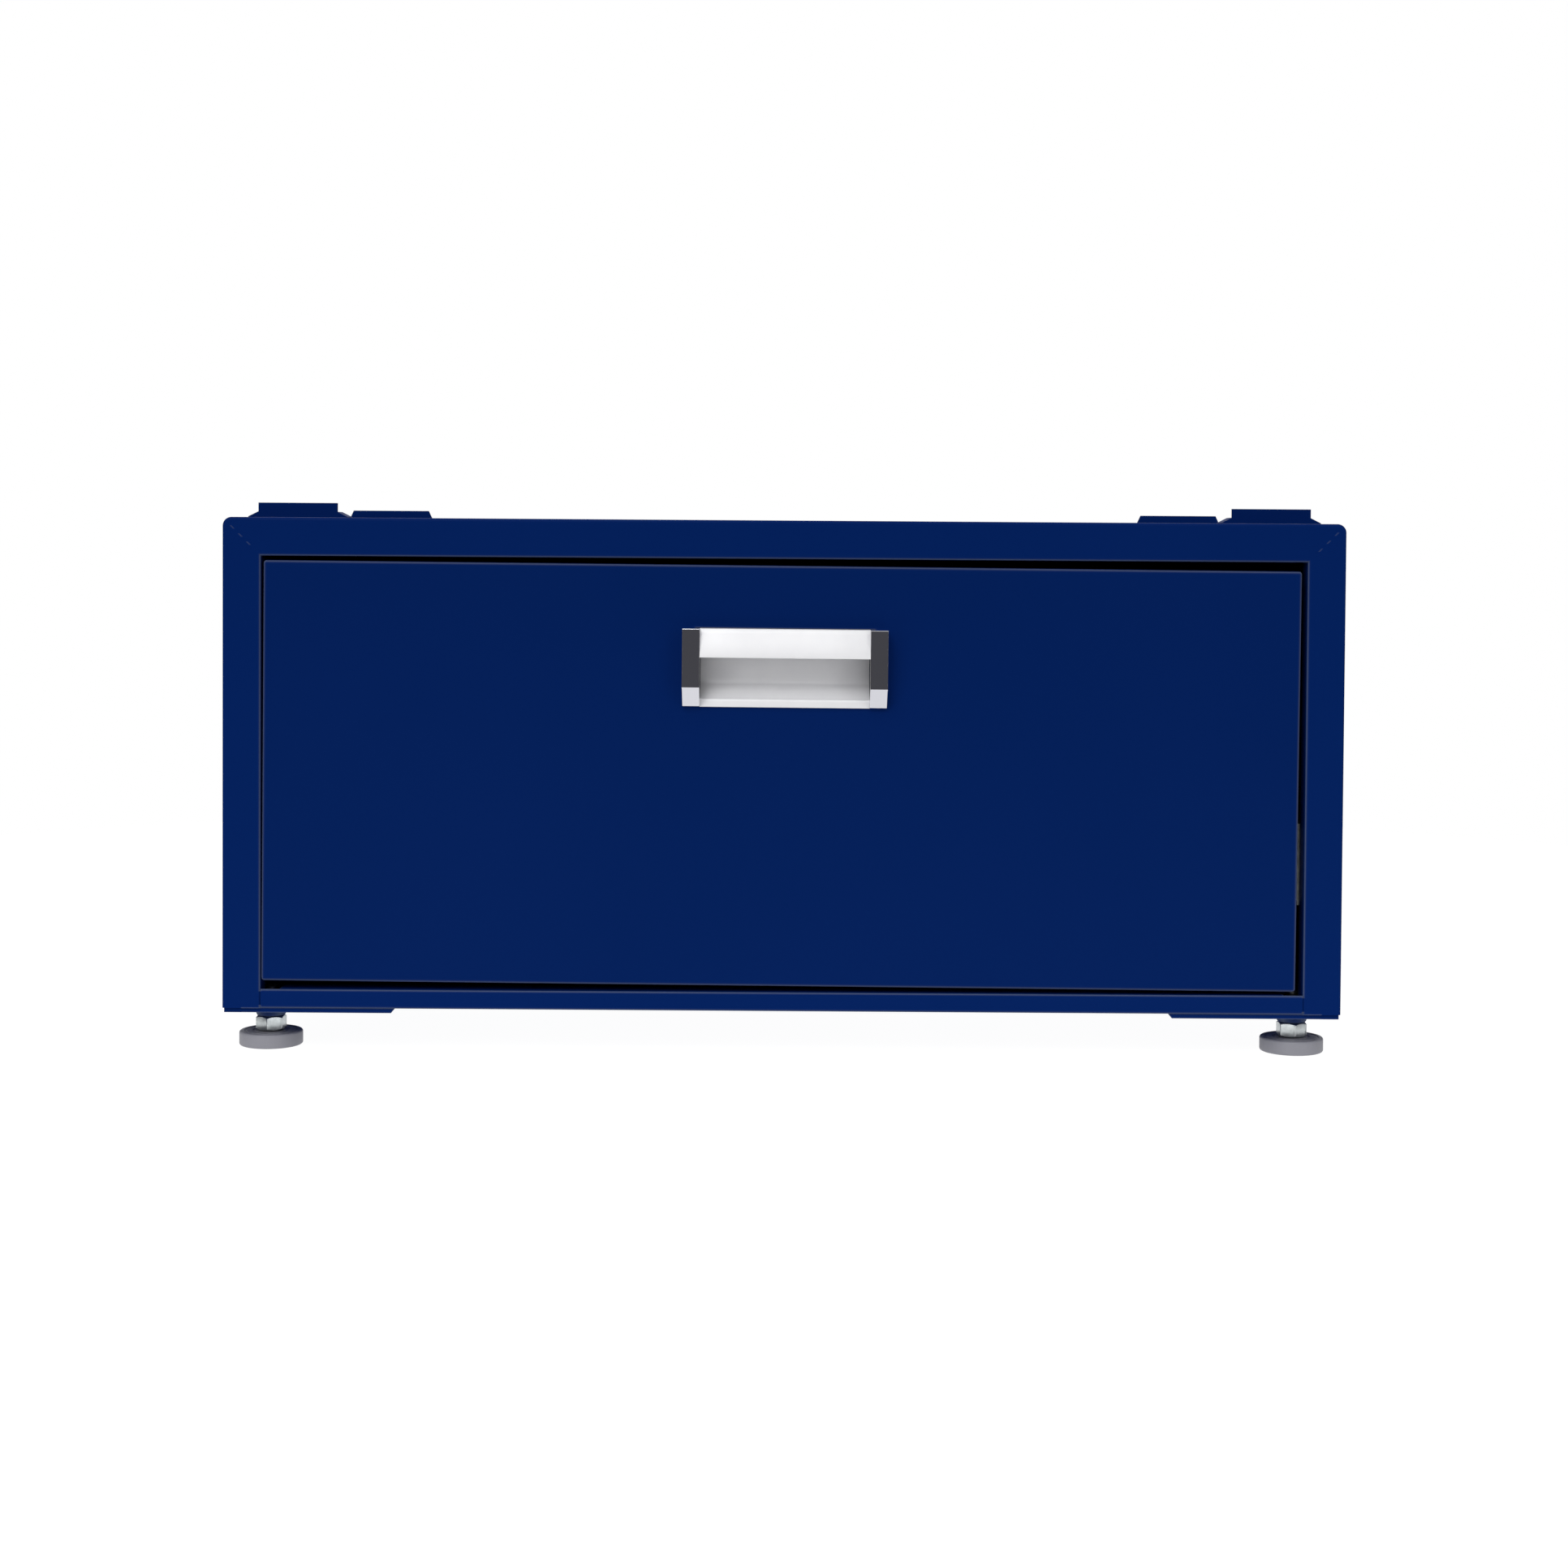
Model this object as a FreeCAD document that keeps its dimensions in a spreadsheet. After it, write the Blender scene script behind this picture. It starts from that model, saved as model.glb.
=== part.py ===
import FreeCAD, Part
import os
import re
import Sketcher

# A low steel cabinet with one full-width pull-out box, on four levelling feet.
# +Z is up, the front faces -Y, and the origin is on the floor below the middle.

doc = FreeCAD.newDocument("box_cabinet")

# ---------------------------------------------------------------- sizes

SIZES = [
    ("body_width", 700, "outside width of the cabinet"),
    ("body_depth", 500, "outside depth, front flange to back panel"),
    ("body_height", 307, "outside height of the sheet-metal body"),
    ("underside_height", 28, "floor to the underside of the body"),
    ("wall", 1.2, "sheet thickness"),
    ("corner_radius", 5.5, "outside bend between top and sides"),
    ("fold_radius", 2, "outside bend along folded edges"),
    ("flange_width", 24, "front flange at the top and sides"),
    ("rear_flange", 18, "rear flange the back panel is riveted to"),
    ("return_depth", 15, "depth of the fold behind the front flange"),
    ("lip_height", 12, "front lip of the floor panel"),
    ("ledge_depth", 18, "ledge folded back from the lip"),
    ("ledge_notch", 12, "relief at each end of the ledge"),
    ("floor_upturn", 15, "side upturn of the floor panel"),
    ("back_inset", 2.5, "back panel set in from the body outline"),
    ("rivet_width", 3.2, "rivet shank diameter"),
    ("rivet_cap", 6.4, "rivet head diameter"),
    ("rivet_head", 1.2, "rivet head thickness"),
    ("fit_play", 0.1, "radial play of a fastener in its hole"),
    ("plate_length", 107, "foot plate across the cabinet"),
    ("plate_depth", 90, "foot plate front to back"),
    ("plate_thickness", 3, "foot plate thickness"),
    ("plate_chamfer", 2.5, "slanted inner end of a foot plate"),
    ("foot_side_inset", 25, "foot centre to the side of the body"),
    ("foot_end_inset", 30, "foot centre to the front or back"),
    ("nut_width", 23, "weld nut diameter against the plate"),
    ("nut_tip", 18, "weld nut diameter at its lower end"),
    ("nut_height", 6, "weld nut height"),
    ("stud_width", 10, "stud thread diameter"),
    ("stud_top", 38, "top of the stud above the floor"),
    ("hex_width", 17, "across flats of the stud's hexagon"),
    ("hex_height", 9, "height of the hexagon"),
    ("hex_turn", 25, "angle the hexagons have stopped at"),
    ("pad_width", 40, "foot pad diameter"),
    ("pad_height", 9, "foot pad height"),
    ("pad_rounding", 1.6, "rounded rims of the pad"),
    ("swivel_width", 14, "button of the stud inside the pad"),
    ("swivel_height", 4, "thickness of that button"),
    ("neck_width", 8, "stud neck through the pad's top"),
    ("running_play", 0.05, "radial play of the stud in the pad"),
    ("lug_inset", 40.5, "stacking lug centre to the side"),
    ("lug_height", 9.5, "stacking lug height"),
    ("lug_sheet", 3, "thickness of a lug's upright tab"),
    ("front_lug_inset", 35, "front of a front lug's tab to the front"),
    ("front_lug_width", 50, "width of a front lug's tab"),
    ("front_lug_spread", 6.5, "slope of a front lug's foot beyond its tab"),
    ("rear_lug_inset", 75, "rear of a rear lug's tab to the back"),
    ("rear_lug_width", 58.7, "top width of a rear lug's tab"),
    ("rear_lug_flare", 4.5, "how much wider each side of it is at the bottom"),
    ("lug_foot_depth", 20, "front to back depth of a lug's foot"),
    ("front_foot_height", 4, "height of a front lug's foot"),
    ("rear_foot_height", 2, "height of a rear lug's foot"),
    ("slide_length", 450, "slide members"),
    ("slide_setback", 20, "front of the slides behind the body front"),
    ("slide_half", 22.8, "half the height of the outer slide member"),
    ("slide_width", 12.7, "cabinet face to box face of a slide"),
    ("slide_reach", 10, "flange of the outer and middle members"),
    ("slide_space", 1, "space between two webs, for a ball cage"),
    ("slide_play", 0.5, "slide to the edge of the opening"),
    ("slide_rise", 70, "slide centre above the bottom of the box"),
    ("race_lip", 1.2, "inturned lip of the outer member"),
    ("big_ball", 4, "balls between outer and middle member"),
    ("small_ball", 3, "balls between middle and inner member"),
    ("ball_play", 0.05, "play each side of a ball"),
    ("cage_sheet", 0.4, "ball cage thickness"),
    ("cage_length", 220, "ball cage length"),
    ("cage_setback", 110, "front of a cage behind the front of its slide"),
    ("balls_in_row", 8, "balls in one row"),
    ("bracket_sheet", 1.5, "slide bracket thickness"),
    ("bracket_foot", 12, "bracket foot against the cabinet side"),
    ("bracket_margin", 3, "bracket above and below the slide"),
    ("buffer_length", 8, "rubber closing buffer"),
    ("buffer_play", 0.3, "closed slide to its buffer"),
    ("screw_width", 4, "slide screw shank"),
    ("screw_cap", 7, "slide screw head diameter"),
    ("flush_head", 0.6, "flush screw head thickness"),
    ("raised_head", 1.8, "raised screw head thickness"),
    ("box_rise", 10, "bottom of the pull-out box above the lip"),
    ("box_height", 230, "side height of the pull-out box"),
    ("box_length", 446, "length of the pull-out box"),
    ("box_fold", 8, "safety fold along the top of the sides"),
    ("box_flange", 12, "flange joining box front and back to the sides"),
    ("panel_depth", 18, "depth of the folded front panel"),
    ("panel_rounding", 1.9, "outside bend round the panel's face"),
    ("panel_side_gap", 2.5, "mean gap beside the front panel"),
    ("panel_end_gap", 4, "mean gap above and below the front panel"),
    ("panel_offset", -1.5, "front panel hangs left of the middle"),
    ("panel_lift", -0.2, "front panel hangs below the middle"),
    ("panel_tilt", 0.27, "angle the front panel hangs at, in degrees"),
    ("panel_return", 30, "inturned rim at the back of the panel"),
    ("panel_screw_inset", 12.3, "panel screws in from the side of the box"),
    ("panel_screw_rise", 90, "panel screws above and below its middle"),
    ("panel_screw_width", 5, "panel screw shank"),
    ("panel_screw_cap", 14, "panel screw head diameter"),
    ("panel_screw_head", 2.5, "panel screw head thickness"),
    ("adjust_hole", 9, "oversize hole that lets the panel be set"),
    ("handle_below_top", 67.5, "top of the handle below the cabinet top"),
    ("handle_offset", 2, "handle centre right of the panel centre"),
    ("handle_length", 128, "handle with its end caps"),
    ("handle_height", 49, "handle height"),
    ("handle_reach", 12.5, "handle in front of the panel"),
    ("handle_recess", 14, "handle behind the panel face"),
    ("handle_wall", 1.8, "handle profile wall"),
    ("hood_height", 18, "depth of the hood below the handle top"),
    ("hood_slant", 4, "how far the hood's front leans back at its top"),
    ("cap_width", 11, "end cap width"),
    ("cap_tongue", 3, "part of the cap that enters the cut-out"),
    ("cap_rounding", 1.2, "rounded edges of an end cap"),
    ("cutout_play", 0.2, "handle to the edge of the panel's cut-out"),
    ("cap_screw_width", 4, "handle screw shank"),
    ("cap_screw_cap", 6.4, "handle screw head diameter"),
    ("cap_screw_head", 2.2, "handle screw head thickness"),
    ("cap_screw_grip", 7, "handle screw length inside a cap"),
]

sheet = doc.addObject("Spreadsheet::Sheet", "Sizes")
for row, (name, value, meaning) in enumerate(SIZES, start=1):
    sheet.set(f"A{row}", name)
    sheet.set(f"B{row}", str(value))
    sheet.set(f"C{row}", meaning)
    sheet.setAlias(f"B{row}", name)
doc.recompute()
NAMES = {name for name, value, meaning in SIZES}


def bound(text):
    """Turn plain size names into references to the sheet."""
    def refer(found):
        word = found.group()
        return "Sizes." + word if word in NAMES else word
    return re.sub(r"[a-z_]+", refer, text)


def amount(text):
    """The present value of an expression, in millimetres."""
    return float(sheet.evalExpression(bound(text)))


# Places that several sub-parts share.
FRONT = "((handle_reach - body_depth - rivet_head) / 2)"
BACK = f"({FRONT} + body_depth)"
SIDE = "(body_width / 2)"
BOTTOM = "underside_height"
TOP = "(underside_height + body_height)"
OPENING_SIDE = f"({SIDE} - flange_width)"
OPENING_LOW = f"({BOTTOM} + lip_height)"
OPENING_HIGH = f"({TOP} - flange_width)"
SLIDE_PLANE = f"({OPENING_SIDE} - slide_play)"
BOX_SIDE = f"({SLIDE_PLANE} - slide_width)"
BOX_LOW = f"({OPENING_LOW} + box_rise)"
BOX_HIGH = f"({BOX_LOW} + box_height)"
BOX_FRONT = f"({FRONT} + panel_depth)"
BOX_BACK = f"({BOX_FRONT} + box_length)"
SLIDE_FRONT = f"({FRONT} + slide_setback)"
SLIDE_LEVEL = f"({BOX_LOW} + slide_rise)"
PANEL_MIDDLE = f"(({OPENING_LOW} + {OPENING_HIGH}) / 2 + panel_lift)"
PANEL_SIDE = f"({OPENING_SIDE} - panel_side_gap)"
PANEL_HALF = f"(({OPENING_HIGH} - {OPENING_LOW}) / 2 - panel_end_gap)"
FOOT_X = f"({SIDE} - foot_side_inset)"
FOOT_FRONT = f"({FRONT} + foot_end_inset)"
FOOT_BACK = f"({BACK} - foot_end_inset)"
NUT_LOW = f"({BOTTOM} - plate_thickness - nut_height)"
CORNERS = [
    ("front_left", -1, FOOT_FRONT),
    ("front_right", 1, FOOT_FRONT),
    ("rear_left", -1, FOOT_BACK),
    ("rear_right", 1, FOOT_BACK),
]
SIDES = [("left", -1), ("right", 1)]

nodes = []


# ------------------------------------------------------- shop helpers

def new_body(name):
    body = doc.addObject("PartDesign::Body", name)
    body.Label = name
    nodes.append(body)
    return body


def place(body, x="0", y="0", z="0"):
    for axis, value in zip("xyz", (x, y, z)):
        body.setExpression(f"Placement.Base.{axis}", bound(value))


def origin_item(body, role):
    return [item for item in body.Origin.OriginFeatures if item.Role == role][0]


def new_sketch(body, name, plane, start):
    """An empty sketch parallel to an origin plane, at a distance along +X, +Y or +Z."""
    sketch = body.newObject("Sketcher::SketchObject", name)
    sketch.AttachmentSupport = [(origin_item(body, plane), "")]
    sketch.MapMode = "FlatFace"
    sign = "-" if plane == "XZ_Plane" else ""
    sketch.setExpression("AttachmentOffset.Base.z", bound(f"{sign}({start})"))
    return sketch


def pin_point(sketch, item, spot, x, y):
    """Tie one point of a sketch to two expressions."""
    for kind, value in (("DistanceX", x), ("DistanceY", y)):
        rule = Sketcher.Constraint(kind, -1, 1, item, spot, amount(value))
        number = sketch.addConstraint(rule)
        sketch.setExpression(f"Constraints[{number}]", bound(value))


def outline(body, name, plane, start, points):
    """A closed outline through points given as expressions."""
    sketch = new_sketch(body, name, plane, start)
    spots = [FreeCAD.Vector(amount(x), amount(y), 0) for x, y in points]
    count = len(spots)
    for index in range(count):
        line = Part.LineSegment(spots[index], spots[(index + 1) % count])
        sketch.addGeometry(line, False)
    for index in range(count):
        rule = Sketcher.Constraint("Coincident", index, 2, (index + 1) % count, 1)
        sketch.addConstraint(rule)
    for index, (x, y) in enumerate(points):
        pin_point(sketch, index, 1, x, y)
    return sketch


def rectangle(body, name, plane, start, low, high):
    corners = [low, (high[0], low[1]), high, (low[0], high[1])]
    return outline(body, name, plane, start, corners)


def circles(body, name, plane, start, centres, width):
    """Equal circles at the given centres."""
    sketch = new_sketch(body, name, plane, start)
    normal = FreeCAD.Vector(0, 0, 1)
    for index, (x, y) in enumerate(centres):
        centre = FreeCAD.Vector(amount(x), amount(y), 0)
        sketch.addGeometry(Part.Circle(centre, normal, amount(width) / 2), False)
        rule = Sketcher.Constraint("Diameter", index, amount(width))
        number = sketch.addConstraint(rule)
        sketch.setExpression(f"Constraints[{number}]", bound(width))
        pin_point(sketch, index, 3, x, y)
    return sketch


def faces_back(sketch):
    return sketch.AttachmentSupport[0][0].Role == "XZ_Plane"


def pad(body, name, sketch, length):
    """Add material from the sketch towards +X, +Y or +Z."""
    feature = body.newObject("PartDesign::Pad", name)
    feature.Profile = sketch
    feature.Reversed = faces_back(sketch)
    feature.setExpression("Length", bound(length))
    return feature


def pocket(body, name, sketch, length):
    """Remove material from the sketch towards +X, +Y or +Z."""
    doc.recompute()
    before = body.Shape.Volume
    feature = body.newObject("PartDesign::Pocket", name)
    feature.Profile = sketch
    feature.Reversed = not faces_back(sketch)
    feature.setExpression("Length", bound(length))
    doc.recompute()
    if feature.Shape.Volume > before - 1e-6:
        raise RuntimeError(f"{body.Label}.{name} removes nothing")
    return feature


def slab(body, name, plane, start, length, low, high):
    sketch = rectangle(body, name + "_outline", plane, start, low, high)
    return pad(body, name, sketch, length)


def cut_slab(body, name, plane, start, length, low, high):
    sketch = rectangle(body, name + "_outline", plane, start, low, high)
    return pocket(body, name, sketch, length)


def pegs(body, name, plane, start, length, centres, width):
    sketch = circles(body, name + "_outline", plane, start, centres, width)
    return pad(body, name, sketch, length)


def holes(body, name, plane, start, length, centres, width):
    sketch = circles(body, name + "_outline", plane, start, centres, width)
    return pocket(body, name, sketch, length)


def turned(body, name, points):
    """Turn an outline of (radius, height) points about the body's own Z axis."""
    sketch = outline(body, name + "_outline", "XZ_Plane", "0", points)
    feature = body.newObject("PartDesign::Revolution", name)
    feature.Profile = sketch
    feature.ReferenceAxis = (sketch, ["V_Axis"])
    feature.Angle = 360
    return feature


def edges_where(shape, test):
    return [f"Edge{number}" for number, edge in enumerate(shape.Edges, start=1) if test(edge)]


def soften(body, name, radius, test, kind="Fillet"):
    """Round or chamfer the edges of the newest feature that pass the test."""
    doc.recompute()
    base = body.Tip
    feature = body.newObject(f"PartDesign::{kind}", name)
    feature.Base = (base, edges_where(base.Shape, test))
    feature.setExpression("Radius" if kind == "Fillet" else "Size", bound(radius))
    doc.recompute()
    return feature


def runs_along(edge, axis):
    """True for a straight edge parallel to the axis."""
    if edge.Curve.TypeId != "Part::GeomLine":
        return False
    return abs(getattr(edge.tangentAt(edge.FirstParameter), axis)) > 0.999


def lies_at(edge, axis, value):
    box = edge.BoundBox
    low = getattr(box, axis.upper() + "Min")
    high = getattr(box, axis.upper() + "Max")
    return abs(low - value) < 0.02 and abs(high - value) < 0.02


# ---------------------------------------------------- cabinet: sheet metal

RIVET_HOLE = "rivet_width + 2 * fit_play"
RIVET_LINE = f"({SIDE} - rear_flange / 2)"
SIDE_RIVETS = [
    (f"{sign} * {RIVET_LINE}", f"{BOTTOM} + body_height * {share}")
    for sign in (-1, 1)
    for share in (0.2, 0.5, 0.8)
]
TOP_RIVETS = [(f"{share} * body_width", f"{TOP} - rear_flange / 2") for share in (-0.3, 0, 0.3)]
LOW_RIVETS = [(f"{share} * body_width", f"{BOTTOM} + rear_flange / 2") for share in (-0.3, 0, 0.3)]


def make_carcass_shell():
    """Top and sides folded from one sheet, with front and rear flanges."""
    body = new_body("carcass_shell")
    low = (f"-{SIDE}", BOTTOM)
    high = (SIDE, TOP)
    slab(body, "block", "XZ_Plane", FRONT, "body_depth - wall", low, high)
    top = amount(TOP)
    front = amount(FRONT)
    rear = amount(f"{BACK} - wall")
    soften(body, "long_bends", "corner_radius",
           lambda edge: runs_along(edge, "y") and lies_at(edge, "z", top))
    bottom = amount(BOTTOM)
    soften(body, "end_bends", "fold_radius",
           lambda edge: (lies_at(edge, "y", front) or lies_at(edge, "y", rear))
           and not lies_at(edge, "z", bottom))
    bend = "(corner_radius - wall)"
    right_bend = [(f"{SIDE} - corner_radius + {bend} * cos({angle})",
                   f"{TOP} - corner_radius + {bend} * sin({angle})") for angle in (0, 30, 60, 90)]
    left_bend = [(f"-({x})", z) for x, z in reversed(right_bend)]
    inside = [(f"-({SIDE} - wall)", f"{BOTTOM} - 1"), (f"{SIDE} - wall", f"{BOTTOM} - 1")]
    hollow = outline(body, "hollow_outline", "XZ_Plane", f"{FRONT} + wall",
                     inside + right_bend + left_bend)
    pocket(body, "hollow", hollow, "body_depth - 3 * wall")
    cut_slab(body, "front_opening", "XZ_Plane", f"{FRONT} - 1", "wall + 2",
             (f"-{OPENING_SIDE}", f"{BOTTOM} - 1"), (OPENING_SIDE, OPENING_HIGH))
    cut_slab(body, "rear_opening", "XZ_Plane", f"{BACK} - 2 * wall - 1", "wall + 2",
             (f"-({SIDE} - rear_flange)", f"{BOTTOM} - 1"),
             (f"{SIDE} - rear_flange", f"{TOP} - rear_flange"))
    fold_side = f"({OPENING_SIDE} + wall)"
    fold_low = f"({BOTTOM} + wall)"
    fold_high = f"({OPENING_HIGH} + wall)"
    fold = outline(body, "returns_outline", "XZ_Plane", FRONT, [
        (f"-{fold_side}", fold_low),
        (f"-{OPENING_SIDE}", fold_low),
        (f"-{OPENING_SIDE}", OPENING_HIGH),
        (OPENING_SIDE, OPENING_HIGH),
        (OPENING_SIDE, fold_low),
        (fold_side, fold_low),
        (fold_side, fold_high),
        (f"-{fold_side}", fold_high),
    ])
    pad(body, "returns", fold, "return_depth")
    inner = amount(OPENING_SIDE)
    high_edge = amount(OPENING_HIGH)
    soften(body, "opening_bends", "fold_radius * 0.8",
           lambda edge: lies_at(edge, "y", front)
           and (lies_at(edge, "x", inner) or lies_at(edge, "x", -inner)
                or lies_at(edge, "z", high_edge)))
    holes(body, "rivet_holes", "XZ_Plane", f"{BACK} - 2 * wall - 1", "wall + 2",
          SIDE_RIVETS + TOP_RIVETS, RIVET_HOLE)


def make_floor_panel():
    """Floor sheet with a front lip and ledge, side upturns and a rear upturn."""
    body = new_body("floor_panel")
    reach = f"({SIDE} - wall)"
    slab(body, "base", "XY_Plane", BOTTOM, "wall",
         (f"-{reach}", f"{FRONT} + wall"), (reach, f"{BACK} - 2 * wall"))
    slab(body, "lip", "XZ_Plane", FRONT, "wall",
         (f"-{OPENING_SIDE}", BOTTOM), (OPENING_SIDE, OPENING_LOW))
    ledge = f"({OPENING_SIDE} - ledge_notch)"
    slab(body, "ledge", "XY_Plane", f"{OPENING_LOW} - wall", "wall",
         (f"-{ledge}", FRONT), (ledge, f"{FRONT} + ledge_depth"))
    rear = f"({SIDE} - rear_flange - 0.5)"
    slab(body, "rear_upturn", "XZ_Plane", f"{BACK} - 2 * wall", "wall",
         (f"-{rear}", BOTTOM), (rear, f"{BOTTOM} + rear_flange"))
    for side, sign in SIDES:
        slab(body, f"{side}_upturn", "YZ_Plane", f"{sign} * {reach} - (1 + {sign}) / 2 * wall",
             "wall", (f"{FRONT} + slide_setback", BOTTOM),
             (f"{BACK} - slide_setback", f"{BOTTOM} + floor_upturn"))
    front = amount(FRONT)
    bottom = amount(BOTTOM)
    lip_top = amount(OPENING_LOW)
    soften(body, "lip_bends", "fold_radius * 0.8",
           lambda edge: runs_along(edge, "x") and lies_at(edge, "y", front)
           and (lies_at(edge, "z", bottom) or lies_at(edge, "z", lip_top)))
    studs = [(f"{sign} * {FOOT_X}", y) for corner, sign, y in CORNERS]
    holes(body, "stud_holes", "XY_Plane", f"{BOTTOM} - 1", "wall + 2", studs, "stud_width + 1")
    holes(body, "rivet_holes", "XZ_Plane", f"{BACK} - 2 * wall - 1", "wall + 2",
          LOW_RIVETS, RIVET_HOLE)


def make_back_panel():
    """Flat sheet riveted to the rear flanges from behind."""
    body = new_body("back_panel")
    slab(body, "sheet_blank", "XZ_Plane", f"{BACK} - wall", "wall",
         (f"-({SIDE} - back_inset)", f"{BOTTOM} + back_inset / 2"),
         (f"{SIDE} - back_inset", f"{TOP} - back_inset"))
    soften(body, "corners", "corner_radius", lambda edge: runs_along(edge, "y"))
    holes(body, "rivet_holes", "XZ_Plane", f"{BACK} - wall - 1", "wall + 2",
          SIDE_RIVETS + TOP_RIVETS + LOW_RIVETS, RIVET_HOLE)


def make_back_rivets():
    body = new_body("back_rivets")
    spots = SIDE_RIVETS + TOP_RIVETS + LOW_RIVETS
    pegs(body, "shanks", "XZ_Plane", f"{BACK} - 3.5 * wall", "3.5 * wall", spots, "rivet_width")
    pegs(body, "heads", "XZ_Plane", BACK, "rivet_head", spots, "rivet_cap")


def make_foot_plates():
    """Thick plates welded under the floor, one at each corner."""
    for corner, sign, foot_y in CORNERS:
        body = new_body(f"foot_plate_{corner}")
        outer = f"{sign} * ({SIDE} - 1)"
        inner = f"{sign} * ({SIDE} - 1 - plate_length)"
        slant = f"{sign} * ({SIDE} - 1 - plate_length + plate_chamfer)"
        near = f"{FRONT} + 2" if "front" in corner else f"{BACK} - 2 - plate_depth"
        low = f"({BOTTOM} - plate_thickness)"
        profile = outline(body, "section", "XZ_Plane", near,
                          [(outer, low), (slant, low), (inner, BOTTOM), (outer, BOTTOM)])
        pad(body, "plate", profile, "plate_depth")
        holes(body, "stud_hole", "XY_Plane", f"{low} - 1", "plate_thickness + 2",
              [(f"{sign} * {FOOT_X}", foot_y)], "stud_width + 1")


def make_weld_nuts():
    """Round threaded bosses welded under the foot plates."""
    body = new_body("foot_weld_nuts")
    spots = [(f"{sign} * {FOOT_X}", y) for corner, sign, y in CORNERS]
    bosses = pegs(body, "bosses", "XY_Plane", NUT_LOW, "nut_height", spots, "nut_tip")
    bosses.setExpression("TaperAngle", bound("atan((nut_width - nut_tip) / 2 / nut_height)"))
    holes(body, "threads", "XY_Plane", f"{NUT_LOW} - 1", "nut_height + 2", spots,
          "stud_width + 2 * running_play")


def make_stacking_lugs():
    """Upright tabs on low welded feet that locate the cabinet stacked above."""
    for corner, sign, foot_y in CORNERS:
        body = new_body(f"stacking_lug_{corner}")
        if "front" in corner:
            place(body, f"{sign} * ({SIDE} - lug_inset)", f"{FRONT} + front_lug_inset", TOP)
            half, flare, spread = "front_lug_width / 2", "0", "front_lug_spread"
            tab_start, foot_start, foot_height = "0", "0", "front_foot_height"
        else:
            place(body, f"{sign} * ({SIDE} - lug_inset)", f"{BACK} - rear_lug_inset", TOP)
            half, flare, spread = "rear_lug_width / 2", "rear_lug_flare", "0"
            tab_start, foot_start, foot_height = "-lug_sheet", "-lug_foot_depth", "rear_foot_height"
        tab = outline(body, "tab_outline", "XZ_Plane", tab_start, [
            (f"-({half} + {flare})", "0"),
            (f"{half} + {flare}", "0"),
            (half, "lug_height"),
            (f"-({half})", "lug_height"),
        ])
        pad(body, "tab", tab, "lug_sheet")
        foot = outline(body, "foot_outline", "XZ_Plane", foot_start, [
            (f"-({half} + {spread})", "0"),
            (f"{half} + {spread}", "0"),
            (f"{half} + {spread}", "lug_sheet / 4"),
            (half, foot_height),
            (f"-({half})", foot_height),
            (f"-({half} + {spread})", "lug_sheet / 4"),
        ])
        pad(body, "foot", foot, "lug_foot_depth")


# ------------------------------------------------------------------- feet

def make_feet():
    """A hexagon-headed stud turning in a plastic pad, at each corner."""
    for corner, sign, foot_y in CORNERS:
        stud = new_body(f"foot_stud_{corner}")
        place(stud, f"{sign} * {FOOT_X}", foot_y)
        hex_low = f"({NUT_LOW} - 0.5 - hex_height)"
        button_low = f"({hex_low} - 2 - swivel_height)"
        turned(stud, "shank", [
            ("0", button_low),
            ("swivel_width / 2", button_low),
            ("swivel_width / 2", f"{button_low} + swivel_height"),
            ("neck_width / 2", f"{button_low} + swivel_height"),
            ("neck_width / 2", hex_low),
            ("stud_width / 2", hex_low),
            ("stud_width / 2", "stud_top - 1.5"),
            ("stud_width / 2 - 1.5", "stud_top"),
            ("0", "stud_top"),
        ])
        tips = [f"{-sign} * hex_turn + {60 * number}" for number in range(6)]
        radius = "hex_width / 2 / cos(30)"
        points = [(f"{radius} * cos({tip})", f"{radius} * sin({tip})") for tip in tips]
        hexagon = outline(stud, "hexagon_outline", "XY_Plane", hex_low, points)
        pad(stud, "hexagon", hexagon, "hex_height")

        cushion = new_body(f"foot_pad_{corner}")
        place(cushion, f"{sign} * {FOOT_X}", foot_y)
        pocket_low = f"({button_low} - running_play)"
        pocket_high = f"({button_low} + swivel_height + running_play)"
        turned(cushion, "cushion", [
            ("0", "0"),
            ("pad_width / 2", "0"),
            ("pad_width / 2", "pad_height"),
            ("neck_width / 2 + running_play", "pad_height"),
            ("neck_width / 2 + running_play", pocket_high),
            ("swivel_width / 2 + running_play", pocket_high),
            ("swivel_width / 2 + running_play", pocket_low),
            ("0", pocket_low),
        ])
        rim = amount("pad_width / 2")
        soften(cushion, "rims", "pad_rounding",
               lambda edge: edge.BoundBox.XMax > rim - 0.01 and edge.BoundBox.ZLength < 0.01)


# ----------------------------------------------------------------- slides

def across(sign, inward):
    """An x position, measured from the slide's cabinet face towards the box."""
    return f"{sign} * ({SLIDE_PLANE} - ({inward}))"


def rail(name, sign, start, length, section):
    """A straight folded member, drawn about the slide's own centre line."""
    body = new_body(name)
    place(body, z=SLIDE_LEVEL)
    points = [(across(sign, inward), rise) for inward, rise in section]
    profile = outline(body, "section", "XZ_Plane", start, points)
    pad(body, "member", profile, length)
    return body


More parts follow.
